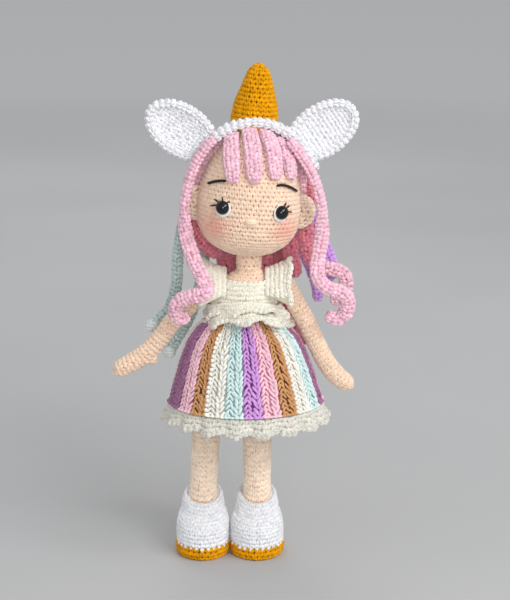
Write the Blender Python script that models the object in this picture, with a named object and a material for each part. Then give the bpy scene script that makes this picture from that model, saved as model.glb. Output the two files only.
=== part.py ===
"""Crocheted doll with a unicorn headband, pink hair and a striped dress.

Run it with blender --background --python part.py, or from the text editor.
Units are metres and +Z is up. The doll faces -Y. Left and right are the doll's own
sides, so left is +X. Meshes are built in doll space, whose X axis starts between the
boots. The empty named doll moves everything so that the origin lies at the bottom
centre of the bounding box.
"""
import math

import bmesh
import bpy
from mathutils import Matrix, Vector

MM = 0.001

# Clearances
GAP = 0.3 * MM
OVERRUN = 4.0 * MM
ROUNDING = 0.001

# Where the doll stands relative to the origin
ORIGIN_X = -0.6 * MM
ORIGIN_Y = 0.4 * MM

# Torso and neck
HIP_HEIGHT = 93.0 * MM
HIP_CENTRE_X = -0.6 * MM
HIP_SPREAD = 12.7 * MM
HIP_SEAT = 2.6 * MM
TORSO_LENGTH = 53.4 * MM
TORSO_HALF_WIDTH = 19.0 * MM
TORSO_HALF_DEPTH = 13.5 * MM
NECK_X = 7.4 * MM
NECK_RADIUS = 6.2 * MM
NECK_SHOWN = 8.0 * MM
NECK_PLUG = 6.0 * MM
ROD_RADIUS = 2.0 * MM
ROD_IN_TORSO = 24.0 * MM
ROD_IN_HEAD = 15.0 * MM
# rise, half width, half depth
TORSO_SHARES = (
    (0.0, 0.72, 0.66), (0.035, 0.90, 0.88), (0.10, 0.99, 0.98), (0.20, 1.0, 1.0),
    (0.35, 0.93, 0.97), (0.53, 0.80, 0.90), (0.72, 0.76, 0.90), (0.83, 0.71, 0.84),
    (0.905, 0.63, 0.74), (0.96, 0.49, 0.61),
)

# Head
HEAD_HALF_WIDTH = 26.0 * MM
HEAD_HALF_DEPTH = 26.5 * MM
HEAD_CROWN = 38.2 * MM
HEAD_CHIN = 24.0 * MM
# how square the head is below its middle, where 2 is an oval
CHIN_POWER = 2.6
HEAD_ROLL = math.radians(5.5)
HEAD_YAW = math.radians(3.5)
NOSE_HALF_WIDTH = 3.5 * MM
NOSE_HALF_HEIGHT = 2.3 * MM
NOSE_DEPTH = 2.0 * MM
NOSE_DROP = 2.8 * MM
EAR_REACH = 7.8 * MM
EAR_HALF_HEIGHT = 8.6 * MM
EAR_HALF_DEPTH = 3.2 * MM
EAR_BACK = 2.0 * MM

# Eyes and embroidery
EYE_SPREAD = 13.65 * MM
EYE_RISE = 2.75 * MM
EYE_RADIUS = 3.75 * MM
EYE_DOME = 3.0 * MM
EYE_RIM = 0.6 * MM
EYE_WHITE_RADIUS = 4.4 * MM
EYE_WHITE_THICKNESS = 0.6 * MM
STEM_RADIUS = 1.4 * MM
STEM_LENGTH = 9.0 * MM
WASHER_RADIUS = 5.0 * MM
WASHER_THICKNESS = 1.5 * MM
WASHER_DEPTH = 4.0 * MM
STITCH_RADIUS = 0.55 * MM
BROW_INNER_X = 14.0 * MM
BROW_INNER_Z = 16.0 * MM
BROW_OUTER_X = 22.2 * MM
BROW_OUTER_Z = 12.8 * MM
BROW_ARCH = 0.9 * MM
LASH_X = 18.6 * MM
LASH_Z = 5.6 * MM
LASH_LENGTH = 2.6 * MM
LASH_WIDTH = 0.9 * MM
LASH_ANGLES = (-25, 10, 45)
# turn and reach of the three corners of one lash
LASH_CORNER_SHARES = ((-10, 0.55), (0, 1), (10, 0.55))

# Hair
HAIR_THICKNESS = 3.3 * MM
HAIR_SIDES = 1.5 * MM
CAP_FRONT_Y = -1.0 * MM
CAP_NAPE_Y = 16.0 * MM
CAP_NAPE_Z = -24.0 * MM
BANG_THICKNESS = 3.0 * MM
BANG_HALF_WIDTH = 4.05 * MM
# top across, bottom across, bottom rise
BANG_SHARES = (
    (-0.42, -0.365, 0.39), (-0.14, 0.0, 0.41), (0.14, 0.354, 0.47), (0.42, 0.655, 0.47),
)
BANG_TOP_SHARE = -0.13
BANG_WIDTH_SHARES = (0.45, 0.80, 0.84, 0.90, 0.95, 1.0, 1.0, 0.98, 0.86, 0.50)
LOCK_LIFT = 6.0 * MM
LOCK_SIDE_LIFT = 7.5 * MM
LOCK_HALF_THICKNESS = 2.0 * MM
LOCK_HALF_WIDTH = 3.6 * MM
THIN_LOCK_HALF_WIDTH = 2.7 * MM
HAIR_DROP = 100.0 * MM
# Routes from the head's centre: across, back, and up (of the crown) or down (of the drop)
RIGHT_FRONT_SHARES = (
    (-0.50, -0.26, 0.81), (-0.62, -0.26, 0.73), (-0.77, -0.26, 0.56), (-0.88, -0.27, 0.34),
    (-0.94, -0.29, 0.14), (-0.955, -0.30, -0.04), (-0.925, -0.35, -0.12), (-0.865, -0.45, -0.19),
    (-0.775, -0.55, -0.26), (-0.67, -0.63, -0.325), (-0.615, -0.67, -0.37), (-0.70, -0.68, -0.40),
    (-0.88, -0.62, -0.415), (-1.04, -0.55, -0.445), (-1.10, -0.47, -0.50), (-1.02, -0.41, -0.54),
    (-0.90, -0.41, -0.525),
)
LEFT_FRONT_SHARES = (
    (0.59, -0.26, 0.80), (0.78, -0.26, 0.62), (0.935, -0.26, 0.42), (1.03, -0.26, 0.22),
    (1.09, -0.24, 0.02), (1.09, -0.25, -0.105), (1.06, -0.30, -0.185), (1.02, -0.38, -0.275),
    (1.04, -0.46, -0.335), (1.18, -0.51, -0.38), (1.36, -0.48, -0.40), (1.48, -0.40, -0.445),
    (1.45, -0.33, -0.52), (1.31, -0.31, -0.55), (1.17, -0.34, -0.52),
)
RIGHT_SIDE_SHARES = (
    (-0.87, 0.29, 0.34), (-0.95, 0.30, 0.10), (-0.92, 0.30, -0.06), (-0.84, 0.31, -0.14),
    (-0.72, 0.33, -0.20), (-0.58, 0.36, -0.24), (-0.44, 0.40, -0.27),
)
LEFT_SIDE_SHARES = (
    (0.90, 0.30, 0.33), (0.95, 0.31, 0.10), (0.88, 0.31, -0.08), (0.87, 0.30, -0.18),
    (0.93, 0.28, -0.27), (1.08, 0.27, -0.32), (1.27, 0.27, -0.335), (1.46, 0.28, -0.36),
    (1.49, 0.30, -0.43), (1.40, 0.33, -0.49), (1.26, 0.34, -0.50),
)
RIGHT_MINT_LONG_SHARES = (
    (-0.62, 0.51, 0.53), (-0.81, 0.50, 0.20), (-0.95, 0.50, -0.03), (-1.04, 0.47, -0.155),
    (-1.10, 0.44, -0.29), (-1.12, 0.42, -0.42), (-1.22, 0.41, -0.54), (-1.40, 0.38, -0.61),
    (-1.53, 0.36, -0.645),
)
RIGHT_MINT_SHORT_SHARES = (
    (-0.40, 0.80, 0.48), (-0.57, 0.84, 0.04), (-0.64, 0.80, -0.13), (-0.69, 0.71, -0.28),
    (-0.78, 0.58, -0.46), (-0.92, 0.46, -0.60), (-1.10, 0.40, -0.70), (-1.26, 0.36, -0.79),
)
LEFT_LILAC_LONG_SHARES = (
    (0.62, 0.58, 0.55), (0.82, 0.58, 0.15), (0.93, 0.58, -0.05), (1.06, 0.56, -0.17),
    (1.19, 0.55, -0.26), (1.27, 0.54, -0.34), (1.23, 0.54, -0.41),
)
LEFT_LILAC_SHORT_SHARES = (
    (0.38, 0.82, 0.46), (0.60, 0.84, 0.02), (0.72, 0.80, -0.15), (0.86, 0.70, -0.28),
    (0.98, 0.60, -0.37), (1.05, 0.53, -0.44), (1.07, 0.49, -0.52),
)
BACK_RIGHT_SHARES = (
    (-0.26, 0.91, 0.20), (-0.32, 0.94, -0.05), (-0.35, 0.90, -0.25), (-0.37, 0.82, -0.40),
    (-0.39, 0.84, -0.55), (-0.46, 0.86, -0.67),
)
BACK_MIDDLE_SHARES = (
    (0.0, 0.97, 0.18), (0.0, 1.0, -0.05), (0.0, 0.95, -0.25), (-0.01, 0.86, -0.40),
    (0.0, 0.86, -0.55), (0.02, 0.93, -0.70),
)
BACK_LEFT_SHARES = (
    (0.27, 0.93, 0.20), (0.36, 0.95, -0.05), (0.44, 0.89, -0.25), (0.49, 0.82, -0.40),
    (0.55, 0.82, -0.54), (0.68, 0.79, -0.66), (0.90, 0.69, -0.72), (1.14, 0.56, -0.735),
)
LOCK_WIDTH_SHARES = (0.60, 0.92)
LOCK_END_SHARES = (1.0, 0.72)
# drop over which a lock turns its flat side from the head to the front or back
LOCK_TURN_SHARE = 0.15

# Headband, horn and white ears
BAND_FRONT_Y = -4.5 * MM
BAND_WIDTH = 17.0 * MM
BAND_THICKNESS = 3.0 * MM
BAND_END_Z = 18.5 * MM
BAND_SIDES = 1.6 * MM
BAND_ASIDE = 1.4 * MM
HORN_X = 2.1 * MM
HORN_Y = 6.5 * MM
HORN_RADIUS = 11.3 * MM
HORN_HEIGHT = 25.9 * MM
HORN_SINK = 9.0 * MM
HORN_LEAN = math.radians(5.5)
# rise, radius
HORN_SHARES = (
    (0.0, 1.0), (0.12, 0.97), (0.27, 0.90), (0.48, 0.74), (0.70, 0.585), (0.86, 0.44),
    (0.95, 0.28), (1.0, 0.08),
)
WHITE_EAR_X = 35.1 * MM
WHITE_EAR_Z = 38.4 * MM
WHITE_EAR_CENTRE_X = 1.5 * MM
WHITE_EAR_Y = 4.0 * MM
WHITE_EAR_HALF_LENGTH = 18.9 * MM
WHITE_EAR_HALF_WIDTH = 11.8 * MM
WHITE_EAR_HALF_THICKNESS = 3.4 * MM
WHITE_EAR_LEAN = math.radians(56.0)

# Arms, from the shoulder pivots
SHOULDER_DROP = 8.0 * MM
SHOULDER_SPREAD = 19.0 * MM
ARM_RADIUS = 4.6 * MM
ARM_CLEARANCE = 0.9 * MM
RIGHT_ARM_REACH = 46.5 * MM
RIGHT_ARM_FALL = 43.5 * MM
LEFT_ARM_REACH = 30.5 * MM
LEFT_ARM_FALL = 51.0 * MM
# across and down
RIGHT_ARM_SHARES = (
    (0.0, 0.0), (0.21, 0.20), (0.40, 0.405), (0.535, 0.59), (0.655, 0.745), (0.80, 0.88), (1.0, 1.0),
)
LEFT_ARM_SHARES = (
    (0.0, 0.0), (0.16, 0.18), (0.33, 0.36), (0.485, 0.565), (0.66, 0.775), (0.84, 0.92), (1.0, 1.0),
)
ARM_RADIUS_SHARES = (1.0, 1.0, 0.98, 0.96, 1.04, 0.94)
THUMB_RADIUS = 2.6 * MM
THUMB_REACH = 4.2 * MM
THUMB_PLACE_SHARE = 0.72

# Legs, boots, soles
LEG_RADIUS = 7.0 * MM
FEET_CENTRE_X = -2.6 * MM
BOOTS_APART = 0.5 * MM
SOLE_THICKNESS = 6.5 * MM
SOLE_LIP = 0.3 * MM
INSOLE_THICKNESS = 1.0 * MM
FOOT_HALF_WIDTH = 11.0 * MM
FOOT_HALF_LENGTH = 13.7 * MM
FOOT_FORWARD = 5.0 * MM
SHOE_WALL = 2.2 * MM
SHOE_RIM_HEIGHT = 32.0 * MM
SHOE_RIM_SLOPE_SHARE = 0.45
# rise, width, length, forward, slope
FOOT_SHARES = (
    (0.0, 0.62, 0.80, 1.0, 0.0), (0.06, 0.94, 0.96, 1.0, 0.0), (0.20, 1.0, 1.0, 1.0, 0.0),
    (0.38, 0.94, 0.90, 0.92, 0.12), (0.55, 0.66, 0.62, 0.64, 0.38), (0.75, 0.24, 0.24, 0.24, 0.72),
    (1.0, 0.0, 0.0, 0.0, 1.0),
)
FOOT_BALL_ROW = 2
# rise, outline
SOLE_SHARES = ((0.0, 0.90), (0.16, 0.975), (0.45, 1.0), (1.0, 1.0))

# Dress
WAIST_HEIGHT = 126.0 * MM
HEM_HEIGHT = 80.5 * MM
HEM_CENTRE_X = 5.6 * MM
SKIRT_HALF_WIDTH = 39.3 * MM
SKIRT_HALF_DEPTH = 34.5 * MM
SKIRT_THICKNESS = 2.2 * MM
# drop, flare
SKIRT_SHARES = ((0.0, 0.0), (0.06, 0.08), (0.16, 0.27), (0.29, 0.49), (0.62, 0.76), (1.0, 1.0))
HEM_FRILL_DROP = 8.0 * MM
HEM_FRILL_FLARE = 2.4 * MM
HEM_FRILL_WAVES = 13
HEM_FRILL_WAVE = 1.2 * MM
BODICE_THICKNESS = 1.5 * MM
BODICE_TOP_DROP = 4.0 * MM
FRILL_THICKNESS = 1.5 * MM
WAIST_FRILL_WAVES = 9
WAIST_FRILL_WAVE = 0.8 * MM
UPPER_FRILL_RISE = 5.6 * MM
UPPER_FRILL_DROP = 4.6 * MM
UPPER_FRILL_SIDE_FLARE = 2.3 * MM
UPPER_FRILL_FRONT_FLARE = 5.5 * MM
LOWER_FRILL_DROP = 5.0 * MM
LOWER_FRILL_SIDE_FLARE = 5.2 * MM
LOWER_FRILL_FRONT_FLARE = 7.5 * MM
# how much higher the waist frills lie at the front than at the sides
FRILL_FRONT_LIFT = 4.0 * MM
STRAP_INNER_X = 9.5 * MM
STRAP_OUTER_X = 23.5 * MM
STRAP_INNER_DEPTH = 10.9 * MM
STRAP_OUTER_DEPTH = 15.5 * MM
STRAP_FOOT_DROP = 10.5 * MM
STRAP_INNER_RISE = 11.0 * MM
STRAP_OUTER_RISE = 17.0 * MM
STRAP_WAVES = 5
STRAP_WAVE = 0.9 * MM

# Worked out from the sizes above
TORSO_BOTTOM = HIP_HEIGHT + HIP_SEAT
NECK_ROOT = TORSO_BOTTOM + TORSO_LENGTH
HEAD_CENTRE = Vector((NECK_X, 0, NECK_ROOT + NECK_SHOWN + HEAD_CHIN))
HEAD_MATRIX = (
    Matrix.Translation(HEAD_CENTRE)
    @ Matrix.Rotation(HEAD_YAW, 4, "Z")
    @ Matrix.Rotation(HEAD_ROLL, 4, "Y")
)
HEAD_PIVOT = Vector((NECK_X, 0, NECK_ROOT))
TORSO_PIVOT = Vector((NECK_X, 0, TORSO_BOTTOM))
SHOULDER_HEIGHT = NECK_ROOT - SHOULDER_DROP
HAIR_SEAT = GAP + HAIR_THICKNESS + GAP
BAND_SEAT = HAIR_SEAT + BAND_THICKNESS + GAP
SHOE_BOTTOM = SOLE_THICKNESS + GAP
FOOT_BOTTOM = SHOE_BOTTOM + INSOLE_THICKNESS + GAP

# Segments round the turned and swept pieces
HEAD_SEGMENTS = 24
HEAD_RINGS = 16
BODY_SEGMENTS = 24
SKIRT_SEGMENTS = 40
LIMB_SEGMENTS = 14
SMALL_SEGMENTS = 10
STRIP_SEGMENTS = 8
POINTS_PER_WAVE = 5

# Colours read from the photograph, 0 to 255
SKIN = (242, 205, 174)
PINK = (244, 184, 204)
DEEP_PINK = (214, 130, 156)
MINT = (190, 214, 208)
LILAC = (190, 140, 214)
WHITE = (238, 238, 238)
CREAM = (240, 236, 222)
MUSTARD = (218, 158, 20)
BLACK = (12, 12, 14)
BROWN = (50, 34, 30)
WOOD = (205, 170, 120)
CLEAR_GREY = (200, 202, 205)
YARN_ROUGHNESS = 0.85
PLASTIC_ROUGHNESS = 0.15
MOULDED_ROUGHNESS = 0.4
WOOD_ROUGHNESS = 0.6


def clear_scene():
    for thing in list(bpy.data.objects):
        bpy.data.objects.remove(thing, do_unlink=True)


def linear(value):
    """Turn one screen colour value (0 to 255) into Blender's linear value."""
    share = value / 255
    if share <= 0.04045:
        return share / 12.92
    return ((share + 0.055) / 1.055) ** 2.4


def give_material(thing, colour, roughness):
    material = bpy.data.materials.new(thing.name)
    material.use_nodes = True
    shader = material.node_tree.nodes["Principled BSDF"]
    shader.inputs["Base Color"].default_value = (*[linear(value) for value in colour], 1)
    shader.inputs["Roughness"].default_value = roughness
    thing.data.materials.append(material)


def link_mesh(name, mesh_builder):
    """Turn a bmesh into a linked object, its faces facing out."""
    bmesh.ops.recalc_face_normals(mesh_builder, faces=mesh_builder.faces)
    mesh = bpy.data.meshes.new(name)
    mesh_builder.to_mesh(mesh)
    mesh_builder.free()
    mesh.shade_smooth()
    mesh.set_sharp_from_angle(angle=math.radians(50))
    thing = bpy.data.objects.new(name, mesh)
    bpy.context.collection.objects.link(thing)
    thing.parent = bpy.data.objects["doll"]
    return thing


def finish_piece(thing, colour, pivot, roughness=YARN_ROUGHNESS):
    """Set the piece's origin on its body's pivot and give it its material."""
    thing.data.transform(Matrix.Translation(-pivot))
    thing.location = pivot
    give_material(thing, colour, roughness)
    return thing


def hide_cutter(thing):
    thing.hide_render = True
    thing.display_type = "WIRE"
    return thing


def boolean(thing, cutter, operation="DIFFERENCE"):
    modifier = thing.modifiers.new(f"{operation.lower()}_{cutter.name}", "BOOLEAN")
    modifier.operation = operation
    modifier.solver = "EXACT"
    modifier.object = cutter


def loft(name, rings, closed=False):
    """Join rings of equal count with quads; close the ends, or the last ring to the first."""
    builder = bmesh.new()
    rows = [[builder.verts.new(point) for point in ring] for ring in rings]
    count = len(rows[0])
    pairs = list(zip(rows, rows[1:]))
    if closed:
        pairs.append((rows[-1], rows[0]))
    else:
        builder.faces.new(rows[0])
        builder.faces.new(rows[-1])
    for lower, upper in pairs:
        for index in range(count):
            after = (index + 1) % count
            builder.faces.new((lower[index], lower[after], upper[after], upper[index]))
    return link_mesh(name, builder)


def ellipse(centre, half_x, half_y, count, slope=0):
    """Points of a level ellipse; slope raises its back."""
    points = []
    for index in range(count):
        angle = 2 * math.pi * index / count
        across = half_x * math.cos(angle)
        back = half_y * math.sin(angle)
        points.append(Vector((centre[0] + across, centre[1] + back, centre[2] + slope * back)))
    return points


def smooth_route(points, steps):
    """A Catmull-Rom curve through the points."""
    route = []
    last = len(points) - 1
    for index in range(last):
        before = points[max(index - 1, 0)]
        start = points[index]
        end = points[index + 1]
        after = points[min(index + 2, last)]
        for step in range(steps):
            t = step / steps
            route.append(0.5 * (
                2 * start + (end - before) * t
                + (2 * before - 5 * start + 4 * end - after) * t ** 2
                + (3 * start - before - 3 * end + after) * t ** 3
            ))
    route.append(points[-1])
    return route


def value_along(shares, position):
    """Read a row of shares at a position between 0 and 1."""
    place = position * (len(shares) - 1)
    index = min(int(place), len(shares) - 2)
    part = place - index
    return shares[index] * (1 - part) + shares[index + 1] * part


def tangents(route):
    last = len(route) - 1
    return [
        (route[min(index + 1, last)] - route[max(index - 1, 0)]).normalized()
        for index in range(last + 1)
    ]


def strip_rings(route, normals, half_widths, half_thickness):
    """Rounded flat cross-sections along a route, square to it."""
    rings = []
    for centre, forward, normal, half_width in zip(route, tangents(route), normals, half_widths):
        side = forward.cross(normal).normalized()
        up = side.cross(forward).normalized()
        ring = []
        for index in range(STRIP_SEGMENTS):
            angle = 2 * math.pi * (index + 0.5) / STRIP_SEGMENTS
            ring.append(
                centre
                + side * half_width * math.cos(angle) / math.cos(math.pi / STRIP_SEGMENTS)
                + up * half_thickness * math.sin(angle) / math.cos(math.pi / STRIP_SEGMENTS)
            )
        rings.append(ring)
    return rings


def ball(name, centre, radius):
    builder = bmesh.new()
    bmesh.ops.create_uvsphere(
        builder, u_segments=LIMB_SEGMENTS, v_segments=SMALL_SEGMENTS, radius=radius,
        matrix=Matrix.Translation(centre),
    )
    return link_mesh(name, builder)


def box(name, low, high):
    builder = bmesh.new()
    size = Vector(high) - Vector(low)
    middle = (Vector(high) + Vector(low)) / 2
    bmesh.ops.create_cube(builder, size=1, matrix=Matrix.Translation(middle) @ Matrix.Diagonal((*size, 1)))
    return link_mesh(name, builder)


def upright_cylinder(name, centre_x, radius, low, high, count):
    rings = [ellipse((centre_x, 0, z), radius, radius, count) for z in (low, high)]
    return loft(name, rings)


def torso_section(height):
    """Centre across, half width and half depth of the torso at a height."""
    share = (height - TORSO_BOTTOM) / TORSO_LENGTH
    centre = HIP_CENTRE_X + (NECK_X - HIP_CENTRE_X) * min(max(share, 0), 1)
    rows = TORSO_SHARES
    for lower, upper in zip(rows, rows[1:]):
        if share <= upper[0]:
            break
    part = min((share - lower[0]) / (upper[0] - lower[0]), 1)
    half_width = lower[1] + (upper[1] - lower[1]) * part
    half_depth = lower[2] + (upper[2] - lower[2]) * part
    return centre, half_width * TORSO_HALF_WIDTH, half_depth * TORSO_HALF_DEPTH


def ankle_x(side):
    half_width = FOOT_HALF_WIDTH + GAP + SHOE_WALL + SOLE_LIP
    return FEET_CENTRE_X + side * (half_width + BOOTS_APART / 2)


def shoulder(side):
    return Vector((NECK_X + side * SHOULDER_SPREAD, 0, SHOULDER_HEIGHT))


def hip(side):
    return Vector((HIP_CENTRE_X + side * HIP_SPREAD, 0, HIP_HEIGHT))


def make_torso():
    """Stuffed torso and neck, with round seats for the limbs and a bore for the neck rod."""
    rings = []
    for share, _, _ in TORSO_SHARES:
        height = TORSO_BOTTOM + share * TORSO_LENGTH
        centre, half_width, half_depth = torso_section(height)
        rings.append(ellipse((centre, 0, height), half_width, half_depth, BODY_SEGMENTS))
    for height in (NECK_ROOT, NECK_ROOT + NECK_SHOWN + NECK_PLUG):
        rings.append(ellipse((NECK_X, 0, height), NECK_RADIUS, NECK_RADIUS, BODY_SEGMENTS))
    torso = loft("torso", rings)
    for side, word in ((1, "left"), (-1, "right")):
        boolean(torso, bpy.data.objects[f"{word}_arm_cutter"])
        boolean(torso, hide_cutter(ball(f"{word}_hip_seat", hip(side), LEG_RADIUS + GAP)))
    bore = upright_cylinder(
        "torso_rod_bore", NECK_X, ROD_RADIUS + GAP, NECK_ROOT - ROD_IN_TORSO - GAP,
        NECK_ROOT + NECK_SHOWN + NECK_PLUG + OVERRUN, SMALL_SEGMENTS,
    )
    boolean(torso, hide_cutter(bore))
    finish_piece(torso, SKIN, TORSO_PIVOT)


def make_neck_rod():
    top = NECK_ROOT + NECK_SHOWN + NECK_PLUG + ROD_IN_HEAD
    rod = upright_cylinder(
        "neck_rod", NECK_X, ROD_RADIUS, NECK_ROOT - ROD_IN_TORSO, top, SMALL_SEGMENTS
    )
    finish_piece(rod, WOOD, HEAD_PIVOT, roughness=WOOD_ROUGHNESS)


def head_half_height(rise):
    return HEAD_CROWN if rise > 0 else HEAD_CHIN


def chin_ring(rise):
    """Width share of the head at a rise share from -1, the chin, to 0."""
    return math.sqrt(max(1 - abs(rise) ** CHIN_POWER, 0))


def head_form(name, grow, widen=0, aside=0):
    """The head's shape, larger by the given amount and wider at the sides, in doll space."""
    builder = bmesh.new()
    bmesh.ops.create_uvsphere(
        builder, u_segments=HEAD_SEGMENTS, v_segments=HEAD_RINGS, radius=1
    )
    for vert in builder.verts:
        half_height = head_half_height(vert.co.z) + grow
        ring = math.hypot(vert.co.x, vert.co.y)
        square = chin_ring(vert.co.z) / ring if vert.co.z < 0 and ring > ROUNDING else 1
        vert.co.x = vert.co.x * square * (HEAD_HALF_WIDTH + grow + widen) + aside
        vert.co.y *= square * (HEAD_HALF_DEPTH + grow)
        vert.co.z *= half_height
    form = link_mesh(name, builder)
    form.data.transform(HEAD_MATRIX)
    return form


def head_surface(across, rise, grow=0):
    """Point and outward direction on the front of the head, in head space."""
    half_width = HEAD_HALF_WIDTH + grow
    half_depth = HEAD_HALF_DEPTH + grow
    half_height = head_half_height(rise) + grow
    power = CHIN_POWER if rise < 0 else 2
    level = abs(rise) / half_height
    inside = 1 - (across / half_width) ** 2 - level ** power
    back = -half_depth * math.sqrt(max(inside, 0))
    point = Vector((across, back, rise))
    upward = math.copysign(power / 2 * level ** (power - 1) / half_height, rise)
    normal = Vector((across / half_width ** 2, back / half_depth ** 2, upward))
    return point, normal.normalized()


def facing_matrix(point, normal):
    """Head-space place whose local Z points along the normal."""
    turn = normal.to_track_quat("Z", "Y").to_matrix().to_4x4()
    return HEAD_MATRIX @ Matrix.Translation(point) @ turn


def eye_place(side):
    return facing_matrix(*head_surface(side * EYE_SPREAD, EYE_RISE))


def round_rings(rows, count):
    """Level circles from (height, radius) rows."""
    return [ellipse((0, 0, height), radius, radius, count) for height, radius in rows]


def make_head():
    """Stuffed head with a pocket for the neck, a bore for the rod and seats for the eyes."""
    head = head_form("head", 0)
    plug_top = NECK_ROOT + NECK_SHOWN + NECK_PLUG
    pocket = upright_cylinder(
        "neck_pocket", NECK_X, NECK_RADIUS + GAP, NECK_ROOT - OVERRUN, plug_top + GAP, BODY_SEGMENTS
    )
    boolean(head, hide_cutter(pocket))
    bore = upright_cylinder(
        "head_rod_bore", NECK_X, ROD_RADIUS + GAP, NECK_ROOT - OVERRUN,
        plug_top + ROD_IN_HEAD + GAP, SMALL_SEGMENTS,
    )
    boolean(head, hide_cutter(bore))
    for side, word in ((1, "left"), (-1, "right")):
        pocket_top = -WASHER_DEPTH + GAP
        pocket_bottom = -WASHER_DEPTH - WASHER_THICKNESS - GAP
        hollow = loft(f"{word}_eye_hollow", round_rings((
            (OVERRUN, STEM_RADIUS + GAP),
            (pocket_top, STEM_RADIUS + GAP),
            (pocket_top, WASHER_RADIUS + GAP),
            (pocket_bottom, WASHER_RADIUS + GAP),
            (pocket_bottom, STEM_RADIUS + GAP),
            (-STEM_LENGTH - GAP, STEM_RADIUS + GAP),
        ), SMALL_SEGMENTS))
        hollow.data.transform(eye_place(side))
        boolean(head, hide_cutter(hollow))
    finish_piece(head, SKIN, HEAD_PIVOT)


def make_eye(side, word):
    """Safety eye, the white liner under it and the washer that locks it inside the head."""
    place = eye_place(side)
    back = GAP + EYE_WHITE_THICKNESS + GAP
    dome = [
        (back + EYE_RIM + EYE_DOME * math.sin(math.radians(angle)),
         EYE_RADIUS * math.cos(math.radians(angle)))
        for angle in (80, 60, 40, 20, 0)
    ]
    eye = loft(f"{word}_eye", round_rings(
        dome + [(back, EYE_RADIUS), (back, STEM_RADIUS), (-STEM_LENGTH, STEM_RADIUS)],
        LIMB_SEGMENTS,
    ))
    eye.data.transform(place)
    finish_piece(eye, BLACK, HEAD_PIVOT, roughness=PLASTIC_ROUGHNESS)
    white = loft(f"{word}_eye_white", round_rings((
        (GAP, EYE_WHITE_RADIUS), (GAP + EYE_WHITE_THICKNESS, EYE_WHITE_RADIUS),
        (GAP + EYE_WHITE_THICKNESS, STEM_RADIUS + GAP), (GAP, STEM_RADIUS + GAP),
    ), LIMB_SEGMENTS), closed=True)
    white.data.transform(place)
    finish_piece(white, WHITE, HEAD_PIVOT)
    washer = loft(f"{word}_eye_washer", round_rings((
        (-WASHER_DEPTH, WASHER_RADIUS), (-WASHER_DEPTH - WASHER_THICKNESS, WASHER_RADIUS),
        (-WASHER_DEPTH - WASHER_THICKNESS, STEM_RADIUS + GAP), (-WASHER_DEPTH, STEM_RADIUS + GAP),
    ), SMALL_SEGMENTS), closed=True)
    washer.data.transform(place)
    finish_piece(washer, CLEAR_GREY, HEAD_PIVOT, roughness=MOULDED_ROUGHNESS)


def make_brow(side, word):
    """One embroidered stitch, arched over the eye."""
    points = []
    for share in (0, 0.25, 0.5, 0.75, 1):
        across = BROW_INNER_X + (BROW_OUTER_X - BROW_INNER_X) * share
        rise = BROW_INNER_Z + (BROW_OUTER_Z - BROW_INNER_Z) * share
        rise += BROW_ARCH * math.sin(math.pi * share)
        point, normal = head_surface(side * across, rise)
        points.append(HEAD_MATRIX @ (point + normal * (GAP + STITCH_RADIUS)))
    curve = bpy.data.curves.new(f"{word}_brow", "CURVE")
    curve.dimensions = "3D"
    curve.bevel_depth = STITCH_RADIUS
    curve.bevel_resolution = 1
    curve.use_fill_caps = True
    spline = curve.splines.new("POLY")
    spline.points.add(len(points) - 1)
    for target, point in zip(spline.points, points):
        target.co = (*(point - HEAD_PIVOT), 1)
    brow = bpy.data.objects.new(f"{word}_brow", curve)
    bpy.context.collection.objects.link(brow)
    brow.parent = bpy.data.objects["doll"]
    brow.location = HEAD_PIVOT
    give_material(brow, BROWN, YARN_ROUGHNESS)


def make_lashes(side, word):
    """Three straight stitches that fan out from the eye's outer corner."""
    point, normal = head_surface(side * LASH_X, LASH_Z)
    place = facing_matrix(point + normal * GAP, normal)
    outline = [Vector((0, -LASH_WIDTH, 0))]
    for angle in LASH_ANGLES:
        for turn, reach in LASH_CORNER_SHARES:
            direction = math.radians(angle + turn)
            outline.append(Vector((
                LASH_LENGTH * reach * math.cos(direction),
                LASH_LENGTH * reach * math.sin(direction), 0,
            )))
    outline.append(Vector((0, LASH_WIDTH, 0)))
    if side < 0:
        outline = [Vector((-corner.x, corner.y, 0)) for corner in outline]
    thickness = Vector((0, 0, STITCH_RADIUS))
    lashes = loft(f"{word}_lashes", [outline, [corner + thickness for corner in outline]])
    lashes.data.transform(place)
    finish_piece(lashes, BROWN, HEAD_PIVOT)


def egg(name, half_sizes):
    builder = bmesh.new()
    bmesh.ops.create_uvsphere(
        builder, u_segments=LIMB_SEGMENTS, v_segments=SMALL_SEGMENTS, radius=1,
        matrix=Matrix.Diagonal((*half_sizes, 1)),
    )
    return link_mesh(name, builder)


def make_nose(skin_cutter):
    point, normal = head_surface(0, -NOSE_DROP)
    nose = egg("nose", (NOSE_HALF_WIDTH, NOSE_HALF_HEIGHT, NOSE_DEPTH))
    nose.data.transform(facing_matrix(point, normal))
    boolean(nose, skin_cutter)
    finish_piece(nose, SKIN, HEAD_PIVOT)


def make_ear(side, word, skin_cutter):
    ear = egg(f"{word}_ear", (EAR_REACH, EAR_HALF_DEPTH, EAR_HALF_HEIGHT))
    place = Matrix.Translation((side * HEAD_HALF_WIDTH, EAR_BACK, 0))
    ear.data.transform(HEAD_MATRIX @ place)
    boolean(ear, skin_cutter)
    finish_piece(ear, SKIN, HEAD_PIVOT)


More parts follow.
